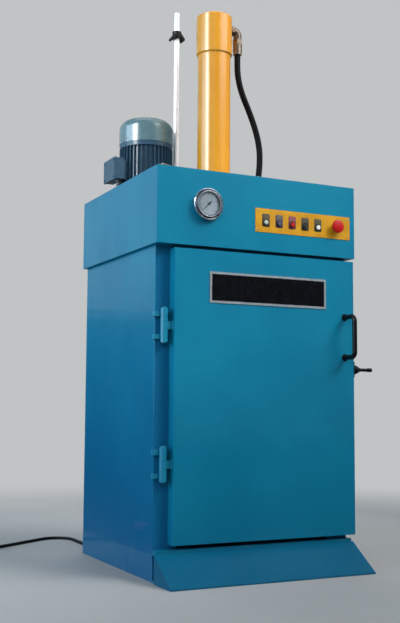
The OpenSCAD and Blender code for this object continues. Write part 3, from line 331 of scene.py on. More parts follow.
hoseSet = {
    "diameter": 0.028,
    "steps": 3,
    "route": [(120, 0, 2275), (120, 0, 2243), (120.5, 0, 2208), (123, 0, 2180), (128, 0, 2152),
              (135, 0, 2125), (144.5, 0, 2098), (156, 0, 2071), (168.5, 0, 2045), (181, 0, 2018),
              (193, 0, 1991), (204, 0, 1964), (214, 0, 1937), (222.5, 0, 1910), (229.5, 0, 1883),
              (234.5, 0, 1855), (237.5, 0, 1827), (238, 0, 1799), (237, 0, 1770), (234.5, 0, 1742),
              (231.5, 0, 1714), (230, 0, 1686), (230, 0, 1656)],
}


def addHose(s):
    line = smoothLine(metres(s["route"]), s["steps"])
    hose = addCord("pressureHose", line, s["diameter"])
    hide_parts("pressure_hose")
    lineLength(line)
    return hose


# details: each function builds one piece from the boxes of the nodes that it sits on

def edges(node):
    # lowest corner, highest corner and middle of a node's box
    lo, hi = (Vector(corner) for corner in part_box(node))
    return lo, hi, (lo + hi) / 2


def roundedPlate(bm, place, width, height, thick, corner, edge=0.0003, steps=5):
    # thin plate with round corners and a softened front edge; local Z is its front
    def outline(cut, z):
        ring = []
        for cx, cy, first in ((1, 1, 0), (-1, 1, 90), (-1, -1, 180), (1, -1, 270)):
            for k in range(steps + 1):
                a = math.radians(first + 90 * k / steps)
                ring.append(Vector((cx * (width / 2 - corner) + (corner - cut) * math.cos(a),
                                    cy * (height / 2 - corner) + (corner - cut) * math.sin(a), z)))
        return ring

    part = bmesh.new()
    shoulder = 0.35 * edge
    rings = [(0, 0), (0, thick - edge), (shoulder, thick - shoulder), (edge, thick)]
    ringsToMesh(part, [outline(cut, z) for cut, z in rings])
    mergeInto(bm, part, place)


legendSet = {"size": (0.0355, 0.054, 0.0009), "round": 0.005, "up": 0.009,
             "units": ["power_lamp", "start_button", "stop_button", "down_button", "up_button"]}


def addLegends(s):
    # bare legend plates behind the control units
    front = edges("control_plate")[0].y
    made = []
    for unit in s["units"]:
        middle = edges(unit)[2]
        bm = bmesh.new()
        place = facing((0, -1, 0), (middle.x, front, middle.z + s["up"]))
        roundedPlate(bm, place, *s["size"], s["round"])
        made.append(addPiece(unit + "_legend", bm, slot="black_plastic"))
    return made


panelScrewSet = {"in": 0.010, "screw": 0.0032}


def addPanelScrews(s):
    # a screw in each corner of the control panel
    lo, hi, _ = edges("control_plate")
    bm = bmesh.new()
    for x in (lo.x + s["in"], hi.x - s["in"]):
        for z in (lo.z + s["in"], hi.z - s["in"]):
            buttonScrew(bm, facing((0, -1, 0), (x, lo.y, z)), s["screw"])
    return addPiece("panelScrews", bm, slot="bright_steel")


dialSet = {"face": 0.0466, "hole": 0.0020, "faceSides": 64, "below": 0.0080, "up": 0.00020,
           "ticks": 40, "major": 5, "start": 225, "sweep": 270, "outer": 0.0415,
           "long": 0.0075, "short": 0.0040, "wide": 0.00075, "bold": 1.5, "thick": 0.00025, "edge": 0.00006,
           "arc": 0.0003, "arcSteps": 90, "arcSides": 6,
           "seal": (0.0456, 0.0013, 0.0020), "sealSteps": 72, "sealSides": 8}


def addDial(s):
    # enamelled dial: a pale face, its scale, and the arc that joins the marks
    lo, _, middle = edges("gauge_case")
    at = Vector((middle.x, lo.y + s["below"], middle.z))
    face = bmesh.new()
    turned(face, facing((0, -1, 0), at), [(s["face"], 0), (s["face"], s["up"]), (s["hole"], s["up"])],
           s["faceSides"])
    dial = addPiece("dialFace", face)
    bm = bmesh.new()
    for k in range(s["ticks"] + 1):
        angle = math.radians(s["start"] - s["sweep"] * k / s["ticks"])
        major = k % s["major"] == 0
        long = s["long"] if major else s["short"]
        wide = s["wide"] * (s["bold"] if major else 1)
        middleR = s["outer"] - long / 2
        place = (Matrix.Translation(at + Vector((middleR * math.cos(angle), -s["up"] - s["thick"] / 2,
                                                 middleR * math.sin(angle))))
                 @ Matrix.Rotation(-angle, 4, "Y"))
        softBlock(bm, place, (long, s["thick"], wide), s["edge"], 1)
    angles = [math.radians(s["start"] - s["sweep"] * k / s["arcSteps"]) for k in range(s["arcSteps"] + 1)]
    sweep(bm, [at + Vector((s["outer"] * math.cos(a), -s["up"], s["outer"] * math.sin(a))) for a in angles],
          s["arc"], s["arcSides"])
    # black seal round the dial, behind the glass; its dark ring is also painted shade where the bezel shades
    # the dial's edge
    reach, bar, out = s["seal"]
    angles = [math.tau * k / s["sealSteps"] for k in range(s["sealSteps"])]
    sweep(bm, [at + Vector((reach * math.cos(a), -out, reach * math.sin(a))) for a in angles], bar,
          s["sealSides"], closed=True)
    return dial, addPiece("dialScale", bm, slot="black_plastic")


# outer and inner bead: reach, radius of the bead, set back from the front
bezelSet = {"beads": [(0.0612, 0.0028, 0.0075), (0.0512, 0.0021, 0.0016)], "steps": 96, "sides": 12}


def addBezel(s):
    # polished beads on the outer and the inner edge of the bezel
    lo, _, middle = edges("gauge_case")
    angles = [math.tau * k / s["steps"] for k in range(s["steps"])]
    bm = bmesh.new()
    for reach, bar, back in s["beads"]:
        ring = [Vector((middle.x + reach * math.cos(a), lo.y + back, middle.z + reach * math.sin(a)))
                for a in angles]
        sweep(bm, ring, bar, s["sides"], closed=True)
    return addPiece("gaugeBezel", bm, slot="bright_steel", smooth=60)


coverSet = {"screw": 0.0045, "count": 4, "first": 20, "up": 0.016, "sink": 0.0003}


def addCoverScrews(s):
    # screws round the foot of the fan cover
    lo, hi, middle = edges("fan_cover")
    r = (hi.x - lo.x) / 2
    foot = Vector((middle.x, middle.y, lo.z + s["up"]))
    bm = bmesh.new()
    for k in range(s["count"]):
        a = math.radians(s["first"] + 360 * k / s["count"])
        out = Vector((math.cos(a), math.sin(a), 0))
        buttonScrew(bm, facing(out, foot + out * (r - s["sink"])), s["screw"])
    return addPiece("coverScrews", bm, slot="bright_steel")


ratingSet = {"turn": -62, "up": 0.135, "inset": 0.0012, "size": (0.074, 0.052, 0.0012), "corner": 0.003,
             "rivet": 0.0016, "rivetIn": 0.004, "dome": [(1, 0), (0.9, 0.5), (0.4, 0.8)], "rivetSides": 12}


def addRatingPlate(s):
    # bare rating plate on the motor's fins, with a rivet in each corner
    lo, hi, middle = edges("fan_cover")
    r = (hi.x - lo.x) / 2 - s["inset"]
    foot = edges("motor_body")[0].z
    a = math.radians(s["turn"])
    out = Vector((math.cos(a), math.sin(a), 0))
    place = facing(out, Vector((middle.x, middle.y, foot + s["up"])) + out * r)
    width, height, thick = s["size"]
    bm = bmesh.new()
    roundedPlate(bm, place, width, height, thick, s["corner"])
    for x in (-1, 1):
        for y in (-1, 1):
            corner = (x * (width / 2 - s["rivetIn"]), y * (height / 2 - s["rivetIn"]), thick)
            rivetHead(bm, place @ Matrix.Translation(corner), s["rivet"], s["dome"], s["rivetSides"])
    return addPiece("ratingPlate", bm, slot="cast_aluminium")


headerSet = {"screw": 0.006, "in": 0.020, "topScrew": 0.0065, "sideRows": (-0.14, 0.14)}


def addHeaderScrews(s):
    # screws of the rear cover and of the top plate
    lo, hi, _ = edges("header_back")
    bm = bmesh.new()
    for x in (lo.x + s["in"], lo.x / 2, 0.0, hi.x / 2, hi.x - s["in"]):
        for z in (lo.z + s["in"], hi.z - s["in"]):
            buttonScrew(bm, facing((0, 1, 0), (x, hi.y, z)), s["screw"])
    lo, hi, _ = edges("header_top")
    left, right = lo.x + s["in"], hi.x - s["in"]
    ends = [(x, y) for x in (left, 0.0, right) for y in (lo.y + s["in"], hi.y - s["in"])]
    sides = [(x, y) for y in s["sideRows"] for x in (left, right)]
    for x, y in ends + sides:
        buttonScrew(bm, facing((0, 0, 1), (x, y, hi.z)), s["topScrew"])
    return addPiece("headerScrews", bm, slot="bright_steel")


frameWeldSet = {"bead": 0.0030, "off": 0.0005, "hingeArm": 0.018, "knuckle": 0.0442, "in": 0.002,
                "pinGap": 0.004, "bracketFrom": 0.060, "bracketTo": 0.003}


def addFrameWelds(s):
    # beads along the hinge arms and round the bolt's bracket
    bm = bmesh.new()
    lo, hi, middle = edges("hinge_knuckles")
    pin = edges("hinge_pins")[2].x
    offset = (hi.z - lo.z) / 2 - 1.5 * s["knuckle"]  # each hinge is three knuckles tall
    back = hi.y - s["off"]
    for side in (-1, 1):
        for arm in (-1, 1):
            for edge in (-1, 1):
                z = middle.z + side * offset + arm * s["knuckle"] + edge * s["hingeArm"] / 2
                weldBead(bm, [(lo.x + s["in"], back, z), (pin - s["pinGap"], back, z)], s["bead"])
    lo, hi, _ = edges("bolt_guide")
    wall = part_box("side_wall_right")[1][0] + s["off"]
    for z in (lo.z, hi.z):
        weldBead(bm, [(wall, lo.y + s["bracketFrom"], z), (wall, hi.y - s["bracketTo"], z)], s["bead"])
    weldBead(bm, [(wall, hi.y, lo.z + s["in"]), (wall, hi.y, hi.z - s["in"])], s["bead"])
    return addPiece("frameWelds", bm, slot="blue_paint", smooth=70)


handleWeldSet = {"bead": 0.0026, "foot": 0.0132, "off": 0.0006, "steps": 40}


def addHandleWelds(s):
    # rings at the handle's feet
    lo, hi, middle = edges("door_handle")
    face = edges("door_skin")[0].y - s["off"]
    r, half = s["foot"], (hi.x - lo.x) / 2
    angles = [math.tau * k / s["steps"] for k in range(s["steps"] + 1)]
    bm = bmesh.new()
    for z in (lo.z + half, hi.z - half):
        weldBead(bm, [(middle.x + r * math.cos(a), face, z + r * math.sin(a)) for a in angles], s["bead"])
    return addPiece("handleWelds", bm, "door", slot="black_paint", smooth=70)


plateSet = {"rivet": 0.0026, "in": 0.0045, "dome": [(1, 0), (0.95, 0.35), (0.7, 0.62), (0.3, 0.72)],
            "rivetSides": 16}


def addPlateRivets(s):
    # rivets along the top and the bottom of the door's plate
    lo, hi, middle = edges("name_plate")
    bm = bmesh.new()
    for x in (lo.x + s["in"], middle.x, hi.x - s["in"]):
        for z in (lo.z + s["in"], hi.z - s["in"]):
            rivetHead(bm, facing((0, -1, 0), (x, lo.y, z)), s["rivet"], s["dome"], s["rivetSides"])
    return addPiece("plateRivets", bm, "door", slot="bright_steel")


addCamera(cameraSet)
cable = addCable(cableSet)
hose = addHose(hoseSet)
coilTies = addCoilTies(tieSet, cableSet)
print("cords done")
legends = addLegends(legendSet)
dialFace, dialScale = addDial(dialSet)
gaugeBezel = addBezel(bezelSet)
details = [coilTies, dialScale, addPanelScrews(panelScrewSet), addCoverScrews(coverSet),
           addRatingPlate(ratingSet), addHeaderScrews(headerSet), addFrameWelds(frameWeldSet),
           addHandleWelds(handleWeldSet), addPlateRivets(plateSet)]
print("details done")


# shader tools

class Wire:
    # one output of a shader node, so that maths on it is written as plain maths

    def __init__(self, tree, socket):
        self.tree = tree
        self.socket = socket

    def join(self, operation, a, b):
        node = self.tree.nodes.new("ShaderNodeMath")
        node.operation = operation
        plug(self.tree, a, node.inputs[0])
        plug(self.tree, b, node.inputs[1])
        return Wire(self.tree, node.outputs[0])

    def __add__(self, other):
        return self.join("ADD", self, other)

    def __radd__(self, other):
        return self.join("ADD", other, self)

    def __sub__(self, other):
        return self.join("SUBTRACT", self, other)

    def __rsub__(self, other):
        return self.join("SUBTRACT", other, self)

    def __mul__(self, other):
        return self.join("MULTIPLY", self, other)

    def __rmul__(self, other):
        return self.join("MULTIPLY", other, self)

    def __pow__(self, other):
        return self.join("POWER", self, other)

    def __rpow__(self, other):
        return self.join("POWER", other, self)

    def larger(self, other):
        return self.join("MAXIMUM", self, other)

    def size(self):
        return self.join("ABSOLUTE", self, 0.0)


def plug(tree, value, socket):
    if isinstance(value, Wire):
        tree.links.new(value.socket, socket)
    elif isinstance(value, (tuple, list)) and len(value) == 3 and socket.type == "RGBA":
        socket.default_value = (*value, 1)
    else:
        socket.default_value = value


class NodeTree:
    # the nodes of a material or of the world

    def __init__(self, tree):
        self.tree = tree

    def node(self, kind, settings=None, inputs=None, out=0):
        made = self.tree.nodes.new("ShaderNode" + kind)
        for key, value in (settings or {}).items():
            setattr(made, key, value)
        for key, value in (inputs or {}).items():
            plug(self.tree, value, made.inputs[key])
        return Wire(self.tree, made.outputs[out])


def lighter(colour, times):
    return tuple(times * c for c in colour)


class Finish(NodeTree):
    # one material: a principled shader and the nodes that feed it

    def __init__(self, name, **fixed):
        self.material = bpy.data.materials.new(name)
        self.material.use_nodes = True
        super().__init__(self.material.node_tree)
        self.shader = self.tree.nodes["Principled BSDF"]
        for key, value in fixed.items():
            self.feed(key, value)

    def feed(self, key, value):
        # sockets are named in camelCase here: baseColor is Base Color
        words = "".join(" " + c if c.isupper() else c for c in key).title()
        words = {"Ior": "IOR", "Coat Ior": "Coat IOR", "Specular": "Specular IOR Level"}.get(words, words)
        plug(self.tree, value, self.shader.inputs[words])

    def place(self, stretch=(1, 1, 1)):
        at = self.node("TexCoord", out="Object")
        if stretch == (1, 1, 1):
            return at
        return self.node("Mapping", {}, {"Vector": at, "Scale": stretch})

    def part(self, axis):
        # 0, 1 or 2 for the place along x, y or z
        return self.node("SeparateXYZ", {}, {"Vector": self.place()}, axis)

    def noise(self, scale, detail, stretch=(1, 1, 1)):
        at = self.place(stretch)
        return self.node("TexNoise", {}, {"Vector": at, "Scale": scale, "Detail": detail}, "Fac")

    def fade(self, value, low, high, start=0.0, end=1.0):
        return self.node("MapRange", {"interpolation_type": "SMOOTHSTEP"},
                         {"Value": value, "From Min": low, "From Max": high, "To Min": start, "To Max": end})

    def patches(self, scale, low, high, detail=4, stretch=(1, 1, 1)):
        # soft patches: 0 where the noise is under low, 1 where it is over high
        return self.fade(self.noise(scale, detail, stretch), low, high)

    def nearGround(self, height, most=1.0):
        # strongest at the ground, and nothing from this height up
        return self.fade(self.part(2), 0.0, height, most, 0.0)

    def blend(self, share, a, b):
        return self.node("Mix", {"data_type": "RGBA"}, {0: share, 6: a, 7: b}, 2)

    def bump(self, height, depth, strength):
        relief = self.node("Bump", {}, {"Height": height, "Distance": depth, "Strength": strength})
        self.feed("normal", relief)


# finishes

# clouds, smears and all other patches are a noise scale, from, to, and where they differ detail and stretch
blueSet = {"deep": (0.0016, 0.136, 0.235), "light": (0.0035, 0.167, 0.272), "clouds": (2.2, 0.3, 0.7),
           "rough": 0.30, "smears": (9, 0.35, 0.75, 5, (1, 1, 0.35)), "smearRough": 0.10,
           "specular": 0.10, "coat": 0.34, "coatIor": 1.5, "coatRoughness": 0.05,
           "peel": [(260, 0.75), (900, 0.25)], "peelDepth": 0.00016, "peelStrength": 0.35,
           "dust": (0.10, 0.20, 0.25), "dustHeight": 0.22, "dustPatches": (21, 0.40, 0.85, 7),
           "dustShare": 0.25, "dustRough": 0.35, "dustDull": 0.5,
           "scratches": (60, 0.70, 0.76, 6, (0.25, 1, 3.5)), "scratchShare": 0.25,
           "chip": (0.05, 0.045, 0.04), "chipHeight": 0.13, "chips": (130, 0.76, 0.80),
           # painted shade: a darker tone towards the ground, strongest at the ground
           "paintedShade": (0.0005, 0.060, 0.130), "paintedShadeTop": 1.0, "paintedShadeShare": 0.42}
# painted shade on the strip of the wall beside the door; its dullness is real
jambSet = {"shade": (0.003, 0.105, 0.235), "share": 0.85, "rough": 0.25, "dull": 0.8,
           "depth": (-0.3735, -0.3730), "edge": (0.4365, 0.4405)}


def bluePaint(s, name, jamb=None):
    # sprayed gloss paint with orange peel, faint clouds, scuffs and dust near the ground, and painted shade
    # that darkens it towards the ground
    f = Finish(name, specular=s["specular"], coatRoughness=s["coatRoughness"], coatIor=s["coatIor"])
    low = f.nearGround(s["dustHeight"])
    dust = low * f.patches(*s["dustPatches"]) * s["dustShare"]
    scratch = f.patches(*s["scratches"]) * low
    chips = f.patches(*s["chips"]) * f.nearGround(s["chipHeight"])
    tone = f.blend(f.patches(*s["clouds"]), s["deep"], s["light"])
    # painted shade: the paint turns darker towards the ground
    tone = f.blend(f.nearGround(s["paintedShadeTop"], s["paintedShadeShare"]), tone, s["paintedShade"])
    tone = f.blend(dust + s["scratchShare"] * scratch, tone, s["dust"])
    tone = f.blend(chips, tone, s["chip"])
    rough = s["rough"] + s["smearRough"] * f.patches(*s["smears"]) + s["dustRough"] * dust
    coat = s["coat"] - s["dustDull"] * dust
    if jamb:
        # the strip of the wall beside the door is duller, and darker with painted shade where the door shades
        # it
        front = 1 - f.fade(f.part(1), *jamb["depth"])
        strip = front * (1 - f.fade(f.part(0).size(), *jamb["edge"]))
        tone = f.blend(strip * jamb["share"], tone, jamb["shade"])
        rough = rough + jamb["rough"] * strip
        coat = coat * (1 - jamb["dull"] * strip)
    f.feed("baseColor", tone)
    f.feed("roughness", rough)
    f.feed("coatWeight", coat)
    coarse, fine = (f.noise(scale, 2) * share for scale, share in s["peel"])
    f.bump(coarse + fine, s["peelDepth"], s["peelStrength"])
    return f.material


yellowSet = {"deep": (0.58, 0.225, 0.0006), "light": (0.67, 0.270, 0.0012),
             "clouds": (5, 0.3, 0.7, 4, (1, 1, 0.4)),
             "rough": 0.36, "smears": (14, 0.35, 0.75, 5), "smearRough": 0.12,
             "specular": 0.08, "coat": 0.9, "coatIor": 1.66, "coatRoughness": 0.26,
             "soil": (0.30, 0.17, 0.05), "soilPatches": (45, 0.66, 0.86, 5), "soilShare": 0.25,
             "soilDull": 0.2, "peel": 240, "peelDepth": 0.0002, "peelStrength": 0.35}


def yellowPaint(s):
    # thick gloss paint with a few soiled spots
    f = Finish("yellow paint", specular=s["specular"], coatRoughness=s["coatRoughness"], coatIor=s["coatIor"])
    tone = f.blend(f.patches(*s["clouds"]), s["deep"], s["light"])
    soil = f.patches(*s["soilPatches"]) * s["soilShare"]
    f.feed("baseColor", f.blend(soil, tone, s["soil"]))
    f.feed("roughness", s["rough"] + s["smearRough"] * f.patches(*s["smears"]))
    f.feed("coatWeight", s["coat"] - s["soilDull"] * soil)
    f.bump(f.noise(s["peel"], 2), s["peelDepth"], s["peelStrength"])
    return f.material


def plainFinish(f, deep, light, clouds, rough, smears, smearRough, grain, depth, strength):
    # one tone that clouds into another, an uneven gloss and a fine grain
    f.feed("baseColor", f.blend(f.patches(*clouds), deep, light))
    f.feed("roughness", rough + smearRough * f.patches(*smears))
    f.bump(f.noise(*grain), depth, strength)
    return f.material


def enamel(name, deep, light, rough=0.35, scale=30, coat=0.15, depth=0.0003, specular=0.5, coatIor=1.5,
           coatRoughness=0.15):
    f = Finish(name, coatWeight=coat, coatRoughness=coatRoughness, specular=specular, coatIor=coatIor)
    return plainFinish(f, deep, light, clouds=(scale, 0.35, 0.7, 5), rough=rough,
                       smears=(scale * 3, 0.4, 0.8), smearRough=0.15, grain=(420, 2), depth=depth,
                       strength=0.4)


def moulded(name, deep, light, rough=0.4, coat=0.0, specular=0.5):
    f = Finish(name, coatWeight=coat, coatRoughness=0.08, specular=specular)
    return plainFinish(f, deep, light, clouds=(70, 0.35, 0.7), rough=rough, smears=(160, 0.4, 0.8),
                       smearRough=0.12, grain=(1400, 2), depth=0.00012, strength=0.4)


def rubber(name, deep, light):
    f = Finish(name, specular=0.2)
    return plainFinish(f, deep, light, clouds=(55, 0.3, 0.75, 5), rough=0.5, smears=(90, 0.4, 0.8),
                       smearRough=0.15, grain=(700, 3), depth=0.0004, strength=0.5)


def dialPaint():
    f = Finish("dial enamel")
    return plainFinish(f, (0.42, 0.49, 0.55), (0.50, 0.57, 0.63), clouds=(70, 0.35, 0.7, 5), rough=0.35,
                       smears=(120, 0.4, 0.8), smearRough=0.1, grain=(900, 2), depth=0.00005, strength=0.3)


metalSet = {"detail": 5, "tone": (0.3, 0.7), "smearScale": 0.4, "smears": (0.35, 0.75), "smearRough": 0.16,
            "strength": 0.5}


def bareMetal(name, deep, light, rough=0.28, stretch=(1, 1, 1), scale=60, depth=0.00012, metallic=1.0):
    # brushed, plated or cast metal; the marks in its tone are also its relief
    s = metalSet
    f = Finish(name, metallic=metallic)
    marks = f.noise(scale, s["detail"], stretch)
    f.feed("baseColor", f.blend(f.fade(marks, *s["tone"]), deep, light))
    f.feed("roughness", rough + s["smearRough"] * f.patches(s["smearScale"] * scale, *s["smears"]))
    f.bump(marks, depth, s["strength"])
    return f.material


glassSet = {"tint": (0.95, 0.97, 0.98), "ior": 1.45, "rough": 0.02, "spots": (60, 0.5, 0.8),
            "spotRough": 0.05}


def clearGlass(s):
    # clear, with a few faint greasy spots
    f = Finish("gauge glass", baseColor=s["tint"], transmissionWeight=1.0, ior=s["ior"])
    f.feed("roughness", s["rough"] + s["spotRough"] * f.patches(*s["spots"]))
    return f.material


plateFinishSet = {"rim": 0.0092, "rimSoft": 0.0006, "black": (0.002, 0.002, 0.003), "blackLight": 1.8,
                  "blackClouds": (30, 0.35, 0.7, 5), "silver": (0.34, 0.37, 0.40), "silverLight": 1.2,
                  "silverClouds": (50, 0.35, 0.7), "metallic": 0.6, "specular": 0.08,
                  "rough": 0.26, "rimRough": 0.12, "smears": (90, 0.4, 0.8), "smearRough": 0.08,
                  "coat": 0.06, "rimCoat": 0.05, "coatRoughness": 0.1, "grain": (500, 2), "depth": 0.0001,
                  "strength": 0.4}


def plateFinish(s):
    # black enamel field inside a dull silver rim
    lo, hi, middle = edges("name_plate")
    f = Finish("plate enamel black", coatRoughness=s["coatRoughness"], specular=s["specular"])
    fromX = (f.part(0) - middle.x).size() - ((hi.x - lo.x) / 2 - s["rim"])
    fromZ = (f.part(2) - middle.z).size() - ((hi.z - lo.z) / 2 - s["rim"])
    rim = f.fade(fromX.larger(fromZ), 0.0, s["rimSoft"])
    field = f.blend(f.patches(*s["blackClouds"]), s["black"], lighter(s["black"], s["blackLight"]))
    metal = f.blend(f.patches(*s["silverClouds"]), s["silver"], lighter(s["silver"], s["silverLight"]))
    f.feed("baseColor", f.blend(rim, field, metal))
    f.feed("metallic", s["metallic"] * rim)
    f.feed("roughness", s["rough"] + s["rimRough"] * rim + s["smearRough"] * f.patches(*s["smears"]))
    f.feed("coatWeight", s["coat"] - s["rimCoat"] * rim)
    f.bump(f.noise(*s["grain"]), s["depth"], s["strength"])
    return f.material


plugSet = {"deep": (0.50, 0.015, 0.012), "light": (0.60, 0.022, 0.018), "clouds": (70, 0.35, 0.7),
           "black": (0.010, 0.010, 0.011), "blackFrom": (0.0655, 0.0665), "blackRough": 0.12,
           "rough": 0.35, "smears": (160, 0.4, 0.8), "smearRough": 0.1, "coat": 0.2, "coatRoughness": 0.08,
           "grain": (1400, 2), "depth": 0.00012, "strength": 0.4}


def plugFinish(s):
    # red housing; the nut and the relief on the cable's side are black
    foot = edges("supply_plug")[0].y
    f = Finish("plug red", coatWeight=s["coat"], coatRoughness=s["coatRoughness"])
    relief = 1 - f.fade(f.part(1), *(foot + reach for reach in s["blackFrom"]))
    red = f.blend(f.patches(*s["clouds"]), s["deep"], s["light"])
    f.feed("baseColor", f.blend(relief, red, s["black"]))
    f.feed("roughness", s["rough"] + s["blackRough"] * relief + s["smearRough"] * f.patches(*s["smears"]))
    f.bump(f.noise(*s["grain"]), s["depth"], s["strength"])
    return f.material


# the dark tone is painted shade on the slope between the two beads
caseSet = {"bright": (0.74, 0.76, 0.80), "dark": (0.10, 0.11, 0.15),
           "from": (0.0530, 0.0538), "to": (0.0600, 0.0608),
           "rough": 0.14, "darkRough": 0.12, "smears": (90, 0.4, 0.8), "smearRough": 0.08,
           "grain": (300, 3), "depth": 0.00001, "strength": 0.4}


def caseFinish(s):
    # polished, and rougher on the slope between the two beads, where a dark band is painted shade
    middle = edges("gauge_case")[2]
    f = Finish("polished case", metallic=1.0)
    dx, dz = f.part(0) - middle.x, f.part(2) - middle.z
    square = dx * dx + dz * dz
    inside = f.fade(square, *(reach ** 2 for reach in s["from"]))
    outside = f.fade(square, *(reach ** 2 for reach in s["to"]))
    shadeBand = inside * (1 - outside)
    f.feed("baseColor", f.blend(shadeBand, s["bright"], s["dark"]))
    f.feed("roughness", s["rough"] + s["darkRough"] * shadeBand + s["smearRough"] * f.patches(*s["smears"]))
    f.bump(f.noise(*s["grain"]), s["depth"], s["strength"])
    return f.material


finishes = {
    "blue_paint": bluePaint(blueSet, "blue paint"),
    "yellow_paint": yellowPaint(yellowSet),
    "motor_paint": enamel("motor paint", (0.022, 0.060, 0.100), (0.032, 0.078, 0.125), rough=0.34, scale=24,
                          coat=0.3, specular=0.25),
    "cowl_paint": enamel("cowl paint", (0.070, 0.140, 0.160), (0.088, 0.168, 0.186), rough=0.22, scale=12,
                         coat=0.8, coatIor=1.65, depth=0.00012, coatRoughness=0.22),
    "box_paint": enamel("box paint", (0.36, 0.38, 0.38), (0.44, 0.46, 0.45), rough=0.42),
    "black_paint": enamel("black paint", (0.002, 0.002, 0.003), (0.004, 0.004, 0.006), rough=0.38, coat=0.05,
                          specular=0.2),
    "plate_black": plateFinish(plateFinishSet),
    "bright_steel": bareMetal("bright steel", (0.48, 0.48, 0.49), (0.66, 0.66, 0.67), rough=0.24),
    "chromed_bar": bareMetal("chromed bar", (0.86, 0.84, 0.87), (0.92, 0.90, 0.93), rough=0.36,
                             stretch=(1, 1, 8), scale=40, metallic=0.5),
    "zinc_steel": bareMetal("zinc plate", (0.34, 0.26, 0.20), (0.46, 0.36, 0.28), rough=0.36),
    "cast_aluminium": bareMetal("cast aluminium", (0.42, 0.43, 0.44), (0.58, 0.59, 0.60), rough=0.42,
                                scale=140, depth=0.0004),
    "black_rubber": rubber("black rubber", (0.002, 0.002, 0.003), (0.005, 0.005, 0.007)),
    "black_plastic": moulded("black plastic", (0.007, 0.007, 0.008), (0.014, 0.014, 0.015), rough=0.42),
    "plate_enamel": enamel("plate enamel", (0.44, 0.21, 0.006), (0.54, 0.27, 0.010), rough=0.40, scale=18,
                           coat=0.10, specular=0.2),
    "clear_glass": clearGlass(glassSet),
    "lamp_lens": moulded("lamp lens", (0.34, 0.40, 0.34), (0.44, 0.50, 0.44), rough=0.20, coat=0.5),
    "violet_grey": moulded("violet grey", (0.070, 0.060, 0.110), (0.095, 0.085, 0.14), rough=0.25, coat=0.5),
    "stop_red": moulded("signal red", (0.36, 0.006, 0.006), (0.45, 0.009, 0.010), specular=0.22),
    "button_dark": moulded("dark button", (0.020, 0.019, 0.016), (0.032, 0.030, 0.026), rough=0.25, coat=0.5),
    "button_white": moulded("white button", (0.62, 0.62, 0.56), (0.74, 0.74, 0.68), rough=0.25, coat=0.5),
    "plug_red": plugFinish(plugSet),
}
# a lighter copy of the blue paint for the hinges: painted light, so that they look more brightly lit than the
# cabinet
hingeLitSet = {**blueSet, "deep": (0.003, 0.155, 0.265), "light": (0.006, 0.190, 0.300), "coat": 0.8,
            "coatIor": 1.45, "coatRoughness": 0.32}
hingeFinish = bluePaint(hingeLitSet, "hinge paint")
# a darker copy of the blue paint for the ramp: painted shade, as the ramp by the floor gets less light; its
# dust is real
rampShadeSet = {**blueSet, "deep": (0.0015, 0.075, 0.140), "light": (0.003, 0.095, 0.170), "coat": 0.04,
           "dust": (0.03, 0.11, 0.16), "dustHeight": 0.12}
# the side walls get deeper and taller painted shade towards the ground
wallSet = {**blueSet, "paintedShade": (0.0004, 0.062, 0.165), "paintedShadeTop": 1.35, "paintedShadeShare": 0.75}
wallFinish = bluePaint(wallSet, "wall paint", jambSet)
# nodes that look different from the rest of their slot
special = {"side_wall_left": wallFinish, "side_wall_right": wallFinish,
           "loading_ramp": bluePaint(rampShadeSet, "ramp shaded paint"),
           "port_elbow": bareMetal("fitting zinc", (0.20, 0.15, 0.12), (0.34, 0.27, 0.22), rough=0.34),
           "gauge_case": caseFinish(caseSet),
           "hinge_knuckles": hingeFinish, "door_knuckles": hingeFinish, "hinge_pins": hingeFinish}
legendShades = {"brown": (0.060, 0.040, 0.014), "grey": (0.075, 0.055, 0.060), "red": (0.200, 0.030, 0.040),
                "dark": (0.045, 0.034, 0.014), "olive": (0.055, 0.050, 0.014)}
legendFinishes = [moulded("legend " + name, lighter(shade, 0.8), shade, rough=0.50)
                  for name, shade in legendShades.items()]


def dressNodes():
    for part in frame["record"]["subparts"]:
        node = nodes[part["node"]]
        node.data.materials.clear()
        node.data.materials.append(special.get(part["node"]) or finishes[part["material_slot"]])


def dressPieces():
    for piece in [cable, hose] + details:
        piece.data.materials.append(finishes[piece["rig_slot"]])
    for piece, finish in zip(legends, legendFinishes):
        piece.data.materials.append(finish)
    dialFace.data.materials.append(dialPaint())
    gaugeBezel.data.materials.append(bareMetal("polished bead", (0.62, 0.66, 0.72), (0.72, 0.76, 0.82),
                                               rough=0.15, depth=0.00001))


dressNodes()
dressPieces()
print("finishes done")


# studio

studioSet = {"world": (0.50, 0.62, 0.70), "worldPower": 0.42, "seen": (0.535, 0.550, 0.555),
             "floor": (0.27, 0.27, 0.272), "reach": 14, "melt": (1.9, 4.2), "dark": (0.015, 0.02, 0.03),
             "panels": {
                 "flag": [(-10, 4.5, 0), (-0.3, 4.5, 0), (-0.3, 4.5, 1.45), (-10, 4.5, 1.45)],
                 "mat": [(-10, -0.2, 0.001), (-0.7, -0.2, 0.001), (-0.7, 4.5, 0.001), (-10, 4.5, 0.001)],
                 "apron": [(-2, -9, 0.001), (7, -9, 0.001), (7, -0.75, 0.001), (-2, -0.75, 0.001)]}}


stageSet = {"rough": 0.8, "specular": 0.08, "clouds": (1.5, 0.3, 0.7), "light": 1.06}


def stagePiece(name, corners, colour):
    # a flat sheet of the studio
    s = stageSet
    mesh = bpy.data.meshes.new(name)
    mesh.from_pydata([Vector(c) for c in corners], [], [tuple(range(len(corners)))])
    piece = bpy.data.objects.new(name, mesh)
    bpy.context.collection.objects.link(piece)
    f = Finish(name, roughness=s["rough"], specular=s["specular"])
    f.feed("baseColor", f.blend(f.patches(*s["clouds"]), colour, lighter(colour, s["light"])))
    mesh.materials.append(f.material)
    return f, piece


